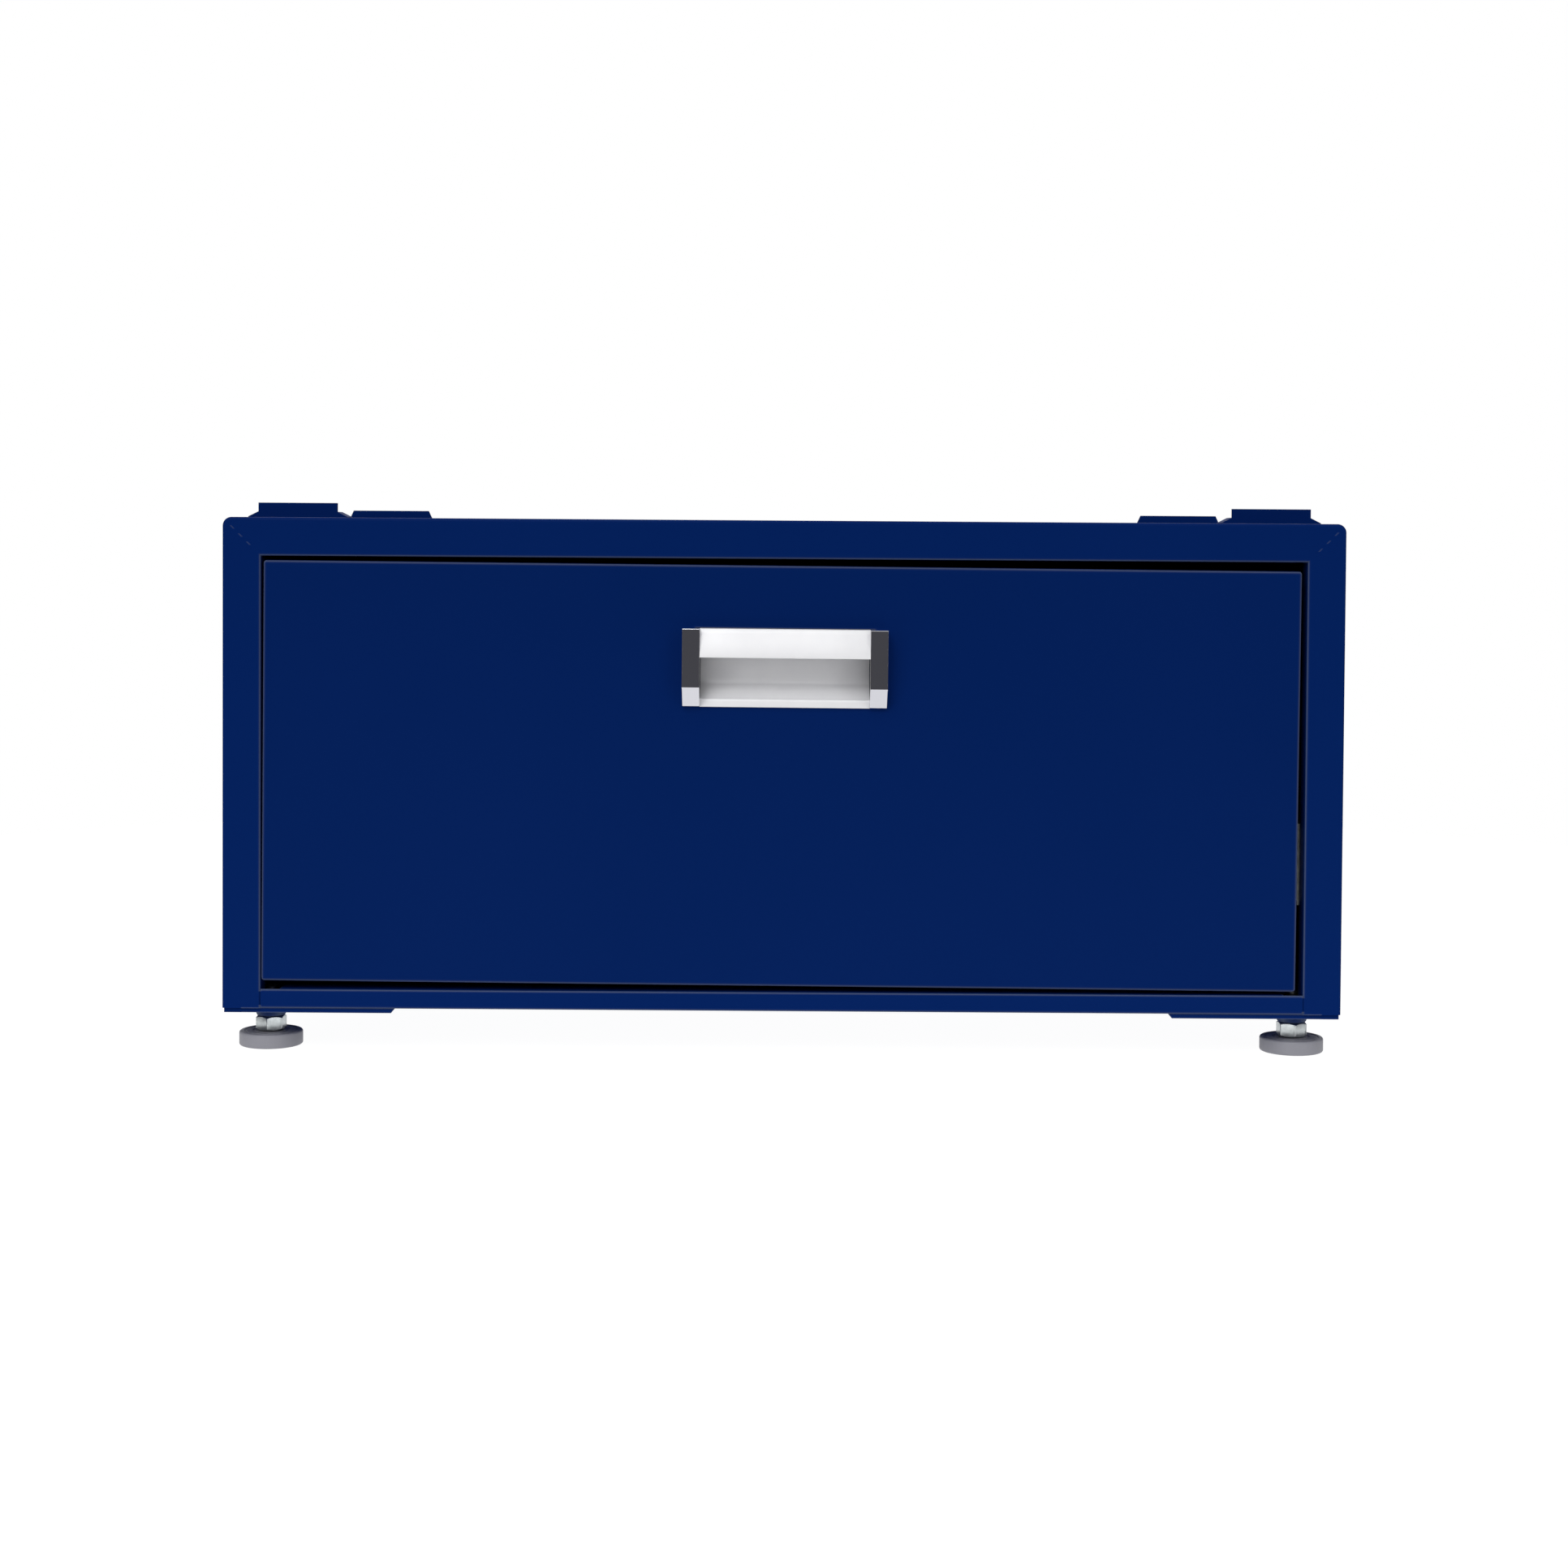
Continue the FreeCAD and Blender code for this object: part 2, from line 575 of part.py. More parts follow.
MIDDLE_HALF = "(slide_half - wall - big_ball - 2 * ball_play)"
INNER_HALF = f"({MIDDLE_HALF} - wall - small_ball - 2 * ball_play)"
MIDDLE_WEB = "(wall + slide_space)"
INNER_TIP = f"({MIDDLE_WEB} + wall + slide_space + 0.2)"
BIG_RACE = "(slide_half - wall - ball_play - big_ball / 2)"
SMALL_RACE = f"({MIDDLE_HALF} - wall - ball_play - small_ball / 2)"
MOVING_LENGTH = "(slide_length - buffer_length - buffer_play)"
SCREW_PLACES = [f"({SLIDE_FRONT} + slide_length * {share})" for share in (0.07, 0.5, 0.9)]


def make_brackets():
    """Hat-section brackets that carry the slides clear of the front flanges."""
    wall_face = f"({SLIDE_PLANE} - {SIDE} + wall)"
    half = "(slide_half + bracket_margin)"
    for side, sign in SIDES:
        body = rail(f"slide_bracket_{side}", sign, SLIDE_FRONT, "slide_length", [
            (wall_face, f"-{half} - bracket_foot"),
            (f"{wall_face} + bracket_sheet", f"-{half} - bracket_foot"),
            (f"{wall_face} + bracket_sheet", f"-{half}"),
            ("0", f"-{half}"),
            ("0", half),
            (f"{wall_face} + bracket_sheet", half),
            (f"{wall_face} + bracket_sheet", f"{half} + bracket_foot"),
            (wall_face, f"{half} + bracket_foot"),
            (wall_face, f"{half} - bracket_sheet"),
            ("-bracket_sheet", f"{half} - bracket_sheet"),
            ("-bracket_sheet", f"-{half} + bracket_sheet"),
            (wall_face, f"-{half} + bracket_sheet"),
        ])
        spots = [(y, "0") for y in SCREW_PLACES]
        start = f"{across(sign, '-bracket_sheet / 2')} - bracket_sheet"
        holes(body, "screw_holes", "YZ_Plane", start, "2 * bracket_sheet", spots,
              "screw_width + 2 * fit_play")


def make_outer_members():
    for side, sign in SIDES:
        body = rail(f"slide_outer_{side}", sign, SLIDE_FRONT, "slide_length", [
            ("0", "-slide_half"),
            ("slide_reach", "-slide_half"),
            ("slide_reach", "-slide_half + wall + race_lip"),
            ("slide_reach - wall", "-slide_half + wall + race_lip"),
            ("slide_reach - wall", "-slide_half + wall"),
            ("wall", "-slide_half + wall"),
            ("wall", "slide_half - wall"),
            ("slide_reach - wall", "slide_half - wall"),
            ("slide_reach - wall", "slide_half - wall - race_lip"),
            ("slide_reach", "slide_half - wall - race_lip"),
            ("slide_reach", "slide_half"),
            ("0", "slide_half"),
        ])
        spots = [(y, "0") for y in SCREW_PLACES]
        holes(body, "screw_holes", "YZ_Plane", f"{across(sign, 'wall / 2')} - wall",
              "2 * wall", spots, "screw_width + 2 * fit_play")
        seat = f"{across(sign, 'wall')} - (1 - {sign}) / 2 * flush_head"
        holes(body, "head_seats", "YZ_Plane", seat, "flush_head", spots,
              "screw_cap + 2 * fit_play")


def make_middle_members():
    for side, sign in SIDES:
        rail(f"slide_middle_{side}", sign, SLIDE_FRONT, MOVING_LENGTH, [
            (MIDDLE_WEB, f"-{MIDDLE_HALF}"),
            ("slide_reach", f"-{MIDDLE_HALF}"),
            ("slide_reach", f"-{MIDDLE_HALF} + wall"),
            (f"{MIDDLE_WEB} + wall", f"-{MIDDLE_HALF} + wall"),
            (f"{MIDDLE_WEB} + wall", f"{MIDDLE_HALF} - wall"),
            ("slide_reach", f"{MIDDLE_HALF} - wall"),
            ("slide_reach", MIDDLE_HALF),
            (MIDDLE_WEB, MIDDLE_HALF),
        ])


def make_inner_members():
    for side, sign in SIDES:
        body = rail(f"slide_inner_{side}", sign, SLIDE_FRONT, MOVING_LENGTH, [
            ("slide_width", f"-{INNER_HALF}"),
            ("slide_width", INNER_HALF),
            (INNER_TIP, INNER_HALF),
            (INNER_TIP, f"{INNER_HALF} - wall"),
            ("slide_width - wall", f"{INNER_HALF} - wall"),
            ("slide_width - wall", f"-{INNER_HALF} + wall"),
            (INNER_TIP, f"-{INNER_HALF} + wall"),
            (INNER_TIP, f"-{INNER_HALF}"),
        ])
        spots = [(y, "0") for y in SCREW_PLACES]
        start = f"{across(sign, 'slide_width - wall / 2')} - wall"
        holes(body, "screw_holes", "YZ_Plane", start, "2 * wall", spots,
              "screw_width + 2 * fit_play")


CAGE_FRONT = f"({SLIDE_FRONT} + cage_setback)"
BALL_MARGIN = "(cage_length / balls_in_row / 2)"
FIRST_BALL = f"({CAGE_FRONT} + {BALL_MARGIN})"
BALL_RUN = f"(cage_length - 2 * {BALL_MARGIN})"
# Each race: name, web of the cage, ball line across the slide, height, ball size.
RACES = [
    ("outer", "(wall + 0.3)", "(slide_reach * 0.6)", BIG_RACE, "big_ball"),
    ("inner", f"({MIDDLE_WEB} + wall + 0.3)", "(slide_reach * 0.7)", SMALL_RACE, "small_ball"),
]


def row_of(body, name, originals):
    """Repeat features along the slide, once for each ball of a row."""
    pattern = body.newObject("PartDesign::LinearPattern", name)
    pattern.Originals = originals
    pattern.Direction = (origin_item(body, "Y_Axis"), [""])
    pattern.setExpression("Length", bound(BALL_RUN))
    pattern.setExpression("Occurrences", "Sizes.balls_in_row")
    body.Tip = pattern
    doc.recompute()


def make_ball_cages():
    for side, sign in SIDES:
        for race, web, line, level, ball in RACES:
            tip = f"({line} + {ball} / 2 + 1)"
            half = f"({level} + cage_sheet / 2)"
            body = rail(f"ball_cage_{race}_{side}", sign, CAGE_FRONT, "cage_length", [
                (web, f"-{half}"),
                (tip, f"-{half}"),
                (tip, f"-{half} + cage_sheet"),
                (f"{web} + cage_sheet", f"-{half} + cage_sheet"),
                (f"{web} + cage_sheet", f"{half} - cage_sheet"),
                (tip, f"{half} - cage_sheet"),
                (tip, half),
                (web, half),
            ])
            first = holes(body, "ball_hole", "XY_Plane", f"-{half} - 1", f"2 * {half} + 2",
                          [(across(sign, line), FIRST_BALL)], f"{ball} + 2 * fit_play")
            row_of(body, "ball_holes", [first])


def make_balls():
    for side, sign in SIDES:
        for race, web, line, level, ball in RACES:
            body = new_body(f"balls_{race}_{side}")
            place(body, z=SLIDE_LEVEL)
            firsts = []
            for row, up in (("lower", -1), ("upper", 1)):
                first = body.newObject("PartDesign::AdditiveSphere", f"{row}_ball")
                first.setExpression("Radius", bound(f"{ball} / 2"))
                first.setExpression("Placement.Base.x", bound(across(sign, line)))
                first.setExpression("Placement.Base.y", bound(FIRST_BALL))
                first.setExpression("Placement.Base.z", bound(f"{up} * {level}"))
                firsts.append(first)
            doc.recompute()
            row_of(body, "rows", firsts)


def make_buffers():
    """Rubber blocks at the back of the outer members that stop the closing box."""
    body = new_body("closing_buffers")
    place(body, z=SLIDE_LEVEL)
    start = f"{SLIDE_FRONT} + slide_length - buffer_length"
    for side, sign in SIDES:
        slab(body, f"{side}_block", "XZ_Plane", start, "buffer_length",
             (across(sign, "wall"), f"-{MIDDLE_HALF} + wall"),
             (across(sign, "slide_width - wall"), f"{MIDDLE_HALF} - wall"))


def make_slide_screws():
    """Flush screws into the brackets and raised screws into the box sides."""
    spots = [(y, "0") for y in SCREW_PLACES]
    fixed = new_body("bracket_screws")
    moving = new_body("box_slide_screws")
    for body in (fixed, moving):
        place(body, z=SLIDE_LEVEL)
    for side, sign in SIDES:
        # Lengths run towards +X, so each piece starts at its lower x end.
        low = f"(1 - {sign}) / 2"
        high = f"(1 + {sign}) / 2"
        grip = "(bracket_sheet + wall - flush_head + 1.5)"
        head = f"{across(sign, 'wall')} - {low} * flush_head"
        pegs(fixed, f"{side}_heads", "YZ_Plane", head, "flush_head", spots, "screw_cap")
        shank = f"{across(sign, 'wall - flush_head')} - {low} * {grip}"
        pegs(fixed, f"{side}_shanks", "YZ_Plane", shank, grip, spots, "screw_width")
        head = f"{across(sign, 'slide_width - wall')} - {low} * raised_head"
        pegs(moving, f"{side}_heads", "YZ_Plane", head, "raised_head", spots, "screw_cap")
        grip = "(2 * wall + 1.5)"
        shank = f"{across(sign, 'slide_width - wall')} - {high} * {grip}"
        pegs(moving, f"{side}_shanks", "YZ_Plane", shank, grip, spots, "screw_width")


# ------------------------------------------------------------ pull-out box

BOX_RIVETS = [
    (f"{y}", f"{BOX_LOW} + box_height * {share}")
    for y in (f"{BOX_FRONT} + box_flange * 0.6", f"{BOX_BACK} - box_flange * 0.6")
    for share in (0.08, 0.6, 0.9)
]


def cut_side_rivets(body, inner, thickness):
    """Rivet holes through both sides of a box part."""
    for side, sign in SIDES:
        start = f"{sign} * ({inner} + {thickness} / 2) - {thickness}"
        holes(body, f"{side}_rivet_holes", "YZ_Plane", start, f"2 * {thickness}",
              BOX_RIVETS, RIVET_HOLE)


def make_box_body():
    """Bottom and sides folded from one sheet, with a safety fold on top."""
    body = new_body("box_body")
    section = outline(body, "section", "XZ_Plane", f"{BOX_FRONT} + wall", [
        (f"-{BOX_SIDE}", BOX_LOW),
        (BOX_SIDE, BOX_LOW),
        (BOX_SIDE, BOX_HIGH),
        (f"{BOX_SIDE} - box_fold", BOX_HIGH),
        (f"{BOX_SIDE} - box_fold", f"{BOX_HIGH} - wall"),
        (f"{BOX_SIDE} - wall", f"{BOX_HIGH} - wall"),
        (f"{BOX_SIDE} - wall", f"{BOX_LOW} + wall"),
        (f"-{BOX_SIDE} + wall", f"{BOX_LOW} + wall"),
        (f"-{BOX_SIDE} + wall", f"{BOX_HIGH} - wall"),
        (f"-{BOX_SIDE} + box_fold", f"{BOX_HIGH} - wall"),
        (f"-{BOX_SIDE} + box_fold", BOX_HIGH),
        (f"-{BOX_SIDE}", BOX_HIGH),
    ])
    pad(body, "sheet_blank", section, "box_length - wall")
    side = amount(BOX_SIDE)
    soften(body, "bends", "fold_radius * 0.8",
           lambda edge: runs_along(edge, "y")
           and (lies_at(edge, "x", side) or lies_at(edge, "x", -side)))
    cut_side_rivets(body, f"({BOX_SIDE} - wall)", "wall")
    spots = [(y, SLIDE_LEVEL) for y in SCREW_PLACES]
    for name, sign in SIDES:
        holes(body, f"{name}_screw_holes", "YZ_Plane",
              f"{sign} * ({BOX_SIDE} - wall / 2) - wall", "2 * wall", spots,
              "screw_width + 2 * fit_play")


def make_box_end(name, plate_start, plate_side, low, high, flange_start):
    """A flat end with two flanges that sit inside the box sides."""
    body = new_body(name)
    slab(body, "sheet_blank", "XZ_Plane", plate_start, "wall",
         (f"-({plate_side})", low), (plate_side, high))
    outer = f"({BOX_SIDE} - wall)"
    for side, sign in SIDES:
        slab(body, f"{side}_flange", "YZ_Plane",
             f"{sign} * {outer} - (1 + {sign}) / 2 * wall", "wall",
             (flange_start, f"{BOX_LOW} + 2 * wall"),
             (f"{flange_start} + box_flange", f"{BOX_HIGH} - 2 * wall"))
    return body


def make_box_ends():
    front = make_box_end("box_front", BOX_FRONT, BOX_SIDE, BOX_LOW, BOX_HIGH, BOX_FRONT)
    cut_side_rivets(front, f"({BOX_SIDE} - 2 * wall)", "wall")
    spots = [(f"panel_offset + {sign} * {PANEL_SCREW_X}", f"{PANEL_MIDDLE} + {up} * panel_screw_rise")
             for sign in (-1, 1) for up in (-1, 1)]
    holes(front, "adjusting_holes", "XZ_Plane", f"{BOX_FRONT} - 1", "wall + 2", spots, "adjust_hole")
    rear = make_box_end("box_back", f"{BOX_BACK} - wall", f"{BOX_SIDE} - wall",
                        f"{BOX_LOW} + wall", f"{BOX_HIGH} - wall", f"{BOX_BACK} - box_flange")
    cut_side_rivets(rear, f"({BOX_SIDE} - 2 * wall)", "wall")


def make_box_rivets():
    body = new_body("box_rivets")
    grip = "(2 * wall + 1)"
    for side, sign in SIDES:
        shank = f"{sign} * {BOX_SIDE} - (1 + {sign}) / 2 * {grip}"
        pegs(body, f"{side}_shanks", "YZ_Plane", shank, grip, BOX_RIVETS, "rivet_width")
        head = f"{sign} * {BOX_SIDE} - (1 - {sign}) / 2 * rivet_head"
        pegs(body, f"{side}_heads", "YZ_Plane", head, "rivet_head", BOX_RIVETS, "rivet_cap")


# -------------------------------------------- front panel and its handle

PANEL_SCREW_X = f"({BOX_SIDE} - panel_screw_inset)"
HANDLE_LOW = f"({TOP} - handle_below_top - handle_height - {PANEL_MIDDLE})"
PROFILE_END = "(handle_length / 2 - cap_width)"


def hang_on_panel(body):
    """The panel and all it carries are drawn about its centre and hang together."""
    body.Placement = FreeCAD.Placement(
        FreeCAD.Vector(0, 0, 0), FreeCAD.Rotation(FreeCAD.Vector(0, 1, 0), amount("panel_tilt")))
    body.setExpression("Placement.Rotation.Angle", bound("panel_tilt"))
    place(body, "panel_offset", FRONT, PANEL_MIDDLE)


def cap_screw_spots():
    outward = "(cap_tongue + cap_width) / 2"
    return [(f"handle_offset + {sign} * ({PROFILE_END} + {outward})",
             f"{HANDLE_LOW} + handle_height * {share}")
            for sign in (-1, 1) for share in (0.34, 0.8)]


def panel_screw_spots():
    return [(f"{sign} * {PANEL_SCREW_X}", f"{up} * panel_screw_rise")
            for sign in (-1, 1) for up in (-1, 1)]


def make_front_panel():
    """A folded pan with an inturned rim at the back and a cut-out for the handle."""
    body = new_body("front_panel")
    hang_on_panel(body)
    slab(body, "block", "XZ_Plane", "0", "panel_depth",
         (f"-{PANEL_SIDE}", f"-{PANEL_HALF}"), (PANEL_SIDE, PANEL_HALF))
    soften(body, "corner_bends", "fold_radius", lambda edge: runs_along(edge, "y"))
    soften(body, "face_bends", "panel_rounding", lambda edge: lies_at(edge, "y", 0))
    hollow = (f"{PANEL_SIDE} - wall", f"{PANEL_HALF} - wall")
    cut_slab(body, "hollow", "XZ_Plane", "wall", "panel_depth",
             (f"-({hollow[0]})", f"-({hollow[1]})"), hollow)
    for side, sign in SIDES:
        reach = f"({PANEL_SIDE} - panel_return)"
        ends = (reach, f"({PANEL_SIDE} - wall / 2)")
        near, far = ends if sign > 0 else (f"-{ends[1]}", f"-{ends[0]}")
        slab(body, f"{side}_rim", "XZ_Plane", "panel_depth - wall", "wall",
             (near, f"-({PANEL_HALF} - fold_radius)"), (far, f"{PANEL_HALF} - fold_radius"))
    side = f"({PROFILE_END} + cap_tongue + cutout_play)"
    cut_slab(body, "handle_cutout", "XZ_Plane", "-1", "wall + 2",
             (f"handle_offset - {side}", f"{HANDLE_LOW} + 3"),
             (f"handle_offset + {side}", f"{HANDLE_LOW} + handle_height + cutout_play"))
    holes(body, "cap_screw_holes", "XZ_Plane", "-1", "wall + 2", cap_screw_spots(),
          "cap_screw_width + 2 * fit_play")
    holes(body, "panel_screw_holes", "XZ_Plane", "panel_depth - wall - 1", "wall + 2",
          panel_screw_spots(), "panel_screw_width + 2 * fit_play")


def make_panel_screws():
    body = new_body("panel_screws")
    hang_on_panel(body)
    grip = "(2 * wall + 3)"
    pegs(body, "shanks", "XZ_Plane", "panel_depth + wall - 2 * wall - 3", grip,
         panel_screw_spots(), "panel_screw_width")
    pegs(body, "heads", "XZ_Plane", "panel_depth + wall", "panel_screw_head",
         panel_screw_spots(), "panel_screw_cap")


def make_handle_profile():
    """An extruded shell pull: a hood over a curved recess that ends in a lip."""
    body = new_body("handle_profile")
    hang_on_panel(body)
    front = "-handle_reach"
    back = "handle_recess"
    wall = "handle_wall"
    slant = "hood_slant"
    hood_low = "(handle_height - hood_height)"
    section = [
        ("-1.5", "0"),
        ("-1.5", "4.6"),
        ("-0.9", "5.5"),
        ("0.8", "6.2"),
        (f"{back} * 0.36", "7.8"),
        (f"{back} * 0.62", "10.6"),
        (f"{back} * 0.78", "13.6"),
        (f"{back} - {wall}", "18"),
        (f"{back} - {wall}", f"handle_height - {wall} - 0.7"),
        (f"{front} + {slant} + {wall} + 1", f"handle_height - {wall} - 0.7"),
        (f"{front} + {slant} * 0.6 + {wall}", f"{hood_low} + hood_height * 0.7"),
        (f"{front} + {slant} * 0.2 + {wall}", f"{hood_low} + hood_height * 0.35"),
        (f"{front} + {wall}", f"{hood_low} + 0.6"),
        (f"{front} + {wall} * 0.8", hood_low),
        (f"{front} + 0.3", hood_low),
        (front, f"{hood_low} + 0.6"),
        (f"{front} + {slant} * 0.15", f"{hood_low} + hood_height * 0.35"),
        (f"{front} + {slant} * 0.5", f"{hood_low} + hood_height * 0.7"),
        (f"{front} + {slant} * 0.85", f"{hood_low} + hood_height * 0.92"),
        (f"{front} + {slant} + 0.6", "handle_height - 0.4"),
        (f"{front} + {slant} + 1.8", "handle_height"),
        (back, "handle_height"),
        (back, "16"),
        (f"{back} * 0.9", "11.6"),
        (f"{back} * 0.72", "8.2"),
        (f"{back} * 0.44", "5.4"),
        ("2.6", "4.2"),
        ("1.4", "3.6"),
        ("0", "3.4"),
        ("0", "0"),
    ]
    points = [(y, f"{HANDLE_LOW} + {z}") for y, z in section]
    profile = outline(body, "section", "YZ_Plane", f"handle_offset - {PROFILE_END}", points)
    pad(body, "extrusion", profile, f"2 * {PROFILE_END}")


def make_handle_caps():
    """Cast end caps that close the profile and take the screws from behind."""
    for side, sign in SIDES:
        body = new_body(f"handle_cap_{side}")
        hang_on_panel(body)
        near = f"handle_offset + {sign} * {PROFILE_END} - (1 - {sign}) / 2 * cap_width"
        section = [
            ("0", "0"),
            ("0", "handle_height"),
            ("-handle_reach + 1.4", "handle_height"),
            ("-handle_reach + 0.4", "handle_height - 1"),
            ("-handle_reach", "handle_height - 3"),
            ("-handle_reach", "13"),
            ("-handle_reach + 0.9", "11"),
            ("-4", "2.2"),
            ("-3", "0.6"),
            ("-2", "0"),
        ]
        points = [(y, f"{HANDLE_LOW} + {z}") for y, z in section]
        profile = outline(body, "section", "YZ_Plane", near, points)
        pad(body, "block", profile, "cap_width")
        outer = amount(f"handle_offset + {sign} * handle_length / 2")
        soften(body, "outer_rim", "cap_rounding",
               lambda edge: lies_at(edge, "x", outer) and not lies_at(edge, "y", 0))
        tongue = f"handle_offset + {sign} * {PROFILE_END} - (1 - {sign}) / 2 * cap_tongue"
        slab(body, "tongue", "YZ_Plane", tongue, "cap_tongue",
             ("-1", f"{HANDLE_LOW} + 3.4"), ("handle_recess", f"{HANDLE_LOW} + handle_height"))
        spots = [spot for spot in cap_screw_spots() if f"+ {sign} *" in spot[0]]
        holes(body, "screw_holes", "XZ_Plane", "-cap_screw_grip - 0.5", "cap_screw_grip + 0.5",
              spots, "cap_screw_width + 2 * fit_play")


def make_handle_screws():
    body = new_body("handle_screws")
    hang_on_panel(body)
    pegs(body, "shanks", "XZ_Plane", "-cap_screw_grip", "cap_screw_grip + wall",
         cap_screw_spots(), "cap_screw_width")
    pegs(body, "heads", "XZ_Plane", "wall", "cap_screw_head",
         cap_screw_spots(), "cap_screw_cap")


# -------------------------------------------------------- build and write

make_carcass_shell()
make_floor_panel()
make_back_panel()
make_back_rivets()
make_foot_plates()
make_weld_nuts()
make_stacking_lugs()
make_feet()
make_brackets()
make_outer_members()
make_middle_members()
make_inner_members()
make_ball_cages()
make_balls()
make_buffers()
make_slide_screws()
make_box_body()
make_box_ends()
make_box_rivets()
make_front_panel()
make_panel_screws()
make_handle_profile()
make_handle_caps()
make_handle_screws()
doc.recompute()

for item in doc.Objects:
    if "Invalid" in item.State or "Error" in item.State:
        raise RuntimeError(f"{item.Label} did not build: {item.State}")
for body in nodes:
    if body.Shape.isNull() or not body.Shape.isValid() or not body.Shape.Solids:
        raise RuntimeError(f"{body.Label} has no valid solid")

os.makedirs("parts", exist_ok=True)
for body in nodes:
    body.Shape.exportStep(f"parts/{body.Label}.step")
print(len(nodes), "nodes written")
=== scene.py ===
import math

import bmesh
import bpy
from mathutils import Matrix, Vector


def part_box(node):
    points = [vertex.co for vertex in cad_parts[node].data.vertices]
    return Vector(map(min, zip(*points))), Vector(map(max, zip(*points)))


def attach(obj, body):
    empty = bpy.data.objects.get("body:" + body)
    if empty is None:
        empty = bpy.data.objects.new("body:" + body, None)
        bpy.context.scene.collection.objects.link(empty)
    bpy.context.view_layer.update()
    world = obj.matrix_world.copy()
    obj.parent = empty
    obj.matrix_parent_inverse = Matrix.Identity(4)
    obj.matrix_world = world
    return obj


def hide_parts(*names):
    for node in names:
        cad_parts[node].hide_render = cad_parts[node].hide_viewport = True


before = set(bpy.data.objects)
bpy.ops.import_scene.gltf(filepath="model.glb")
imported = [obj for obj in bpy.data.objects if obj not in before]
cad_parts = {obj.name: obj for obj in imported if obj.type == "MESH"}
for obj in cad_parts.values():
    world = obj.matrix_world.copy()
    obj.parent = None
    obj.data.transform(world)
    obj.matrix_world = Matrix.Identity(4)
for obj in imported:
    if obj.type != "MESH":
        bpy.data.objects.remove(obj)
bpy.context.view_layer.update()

scene = bpy.context.scene

# ------------------------------------------------------------------ camera
# A standing camera level with the top of the cabinet, square on to its front and
# very slightly rolled.

camera_distance = 1.597
camera_height = 0.320
camera_dip = 1.6
camera_roll = 0.38
camera_lens = 58.9
camera_shift = -0.107
panel_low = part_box("front_panel")[0]
bpy.ops.object.camera_add()
camera = bpy.context.object
camera.location = (0, panel_low.y - camera_distance, camera_height)
camera.rotation_mode = "XYZ"
camera.rotation_euler = (math.radians(90 - camera_dip), 0, 0)
camera.rotation_euler.rotate_axis("Z", math.radians(camera_roll))
camera.data.lens = camera_lens
camera.data.sensor_width = 36
camera.data.shift_y = camera_shift
scene.camera = camera

# ------------------------------------------------------------------ floor and light
# A round pale floor that glows like a light table, a large soft light
# high in front, low ones at both sides, and a bright ceiling over darker walls.

floor_radius = 1.25
floor_glow = 0.97
bpy.ops.mesh.primitive_circle_add(vertices=128, radius=floor_radius, fill_type="NGON")
floor = bpy.context.object
floor.name = "studio_floor"

floor_paint = bpy.data.materials.new("studio_floor_paint")
floor_paint.use_nodes = True
paint_shader = floor_paint.node_tree.nodes["Principled BSDF"]
paint_shader.inputs["Base Color"].default_value = (0.10, 0.10, 0.10, 1)
paint_shader.inputs["Roughness"].default_value = 0.9
paint_shader.inputs["Specular IOR Level"].default_value = 0
paint_shader.inputs["Emission Color"].default_value = (1, 1, 1, 1)
paint_shader.inputs["Emission Strength"].default_value = floor_glow
floor.data.materials.append(floor_paint)

ceiling_light = 0.85
wall_light = 0.08
studio = bpy.data.worlds.new("studio")
scene.world = studio
studio.use_nodes = True
sky = studio.node_tree
sky.nodes.clear()
direction = sky.nodes.new("ShaderNodeTexCoord")
height = sky.nodes.new("ShaderNodeSeparateXYZ")
levels = sky.nodes.new("ShaderNodeValToRGB")
levels.color_ramp.elements[0].position = 0.30
levels.color_ramp.elements[0].color = (wall_light, wall_light, wall_light * 1.1, 1)
levels.color_ramp.elements[1].position = 0.62
levels.color_ramp.elements[1].color = (ceiling_light, ceiling_light, ceiling_light, 1)
lit = sky.nodes.new("ShaderNodeBackground")
seen = sky.nodes.new("ShaderNodeBackground")
seen.inputs["Color"].default_value = (1, 1, 1, 1)
path = sky.nodes.new("ShaderNodeLightPath")
either = sky.nodes.new("ShaderNodeMixShader")
world_out = sky.nodes.new("ShaderNodeOutputWorld")
sky.links.new(direction.outputs["Generated"], height.inputs["Vector"])
sky.links.new(height.outputs["Z"], levels.inputs["Fac"])
sky.links.new(levels.outputs["Color"], lit.inputs["Color"])
sky.links.new(path.outputs["Is Camera Ray"], either.inputs["Fac"])
sky.links.new(lit.outputs["Background"], either.inputs[1])
sky.links.new(seen.outputs["Background"], either.inputs[2])
sky.links.new(either.outputs["Shader"], world_out.inputs["Surface"])


def hang_softbox(name, strength, elevation, turn, spread):
    """A distant soft light, given by where it stands and how wide it looks."""
    bpy.ops.object.light_add(type="SUN")
    lamp = bpy.context.object
    lamp.name = name
    lamp.data.energy = strength
    lamp.data.angle = math.radians(spread)
    lamp.rotation_euler = (math.radians(90 - elevation), 0, math.radians(turn))


hang_softbox("front_light", 0.85, 36, -16, 24)
for name, turn in (("low_left_light", -40), ("low_right_light", 40)):
    hang_softbox(name, 0.3, 10, turn, 20)
hang_softbox("key_light", 0.5, 48, -28, 30)
hang_softbox("fill_light", 0.25, 42, 35, 40)
hang_softbox("back_light", 0.6, 35, 180, 40)

scene.view_settings.view_transform = "Standard"
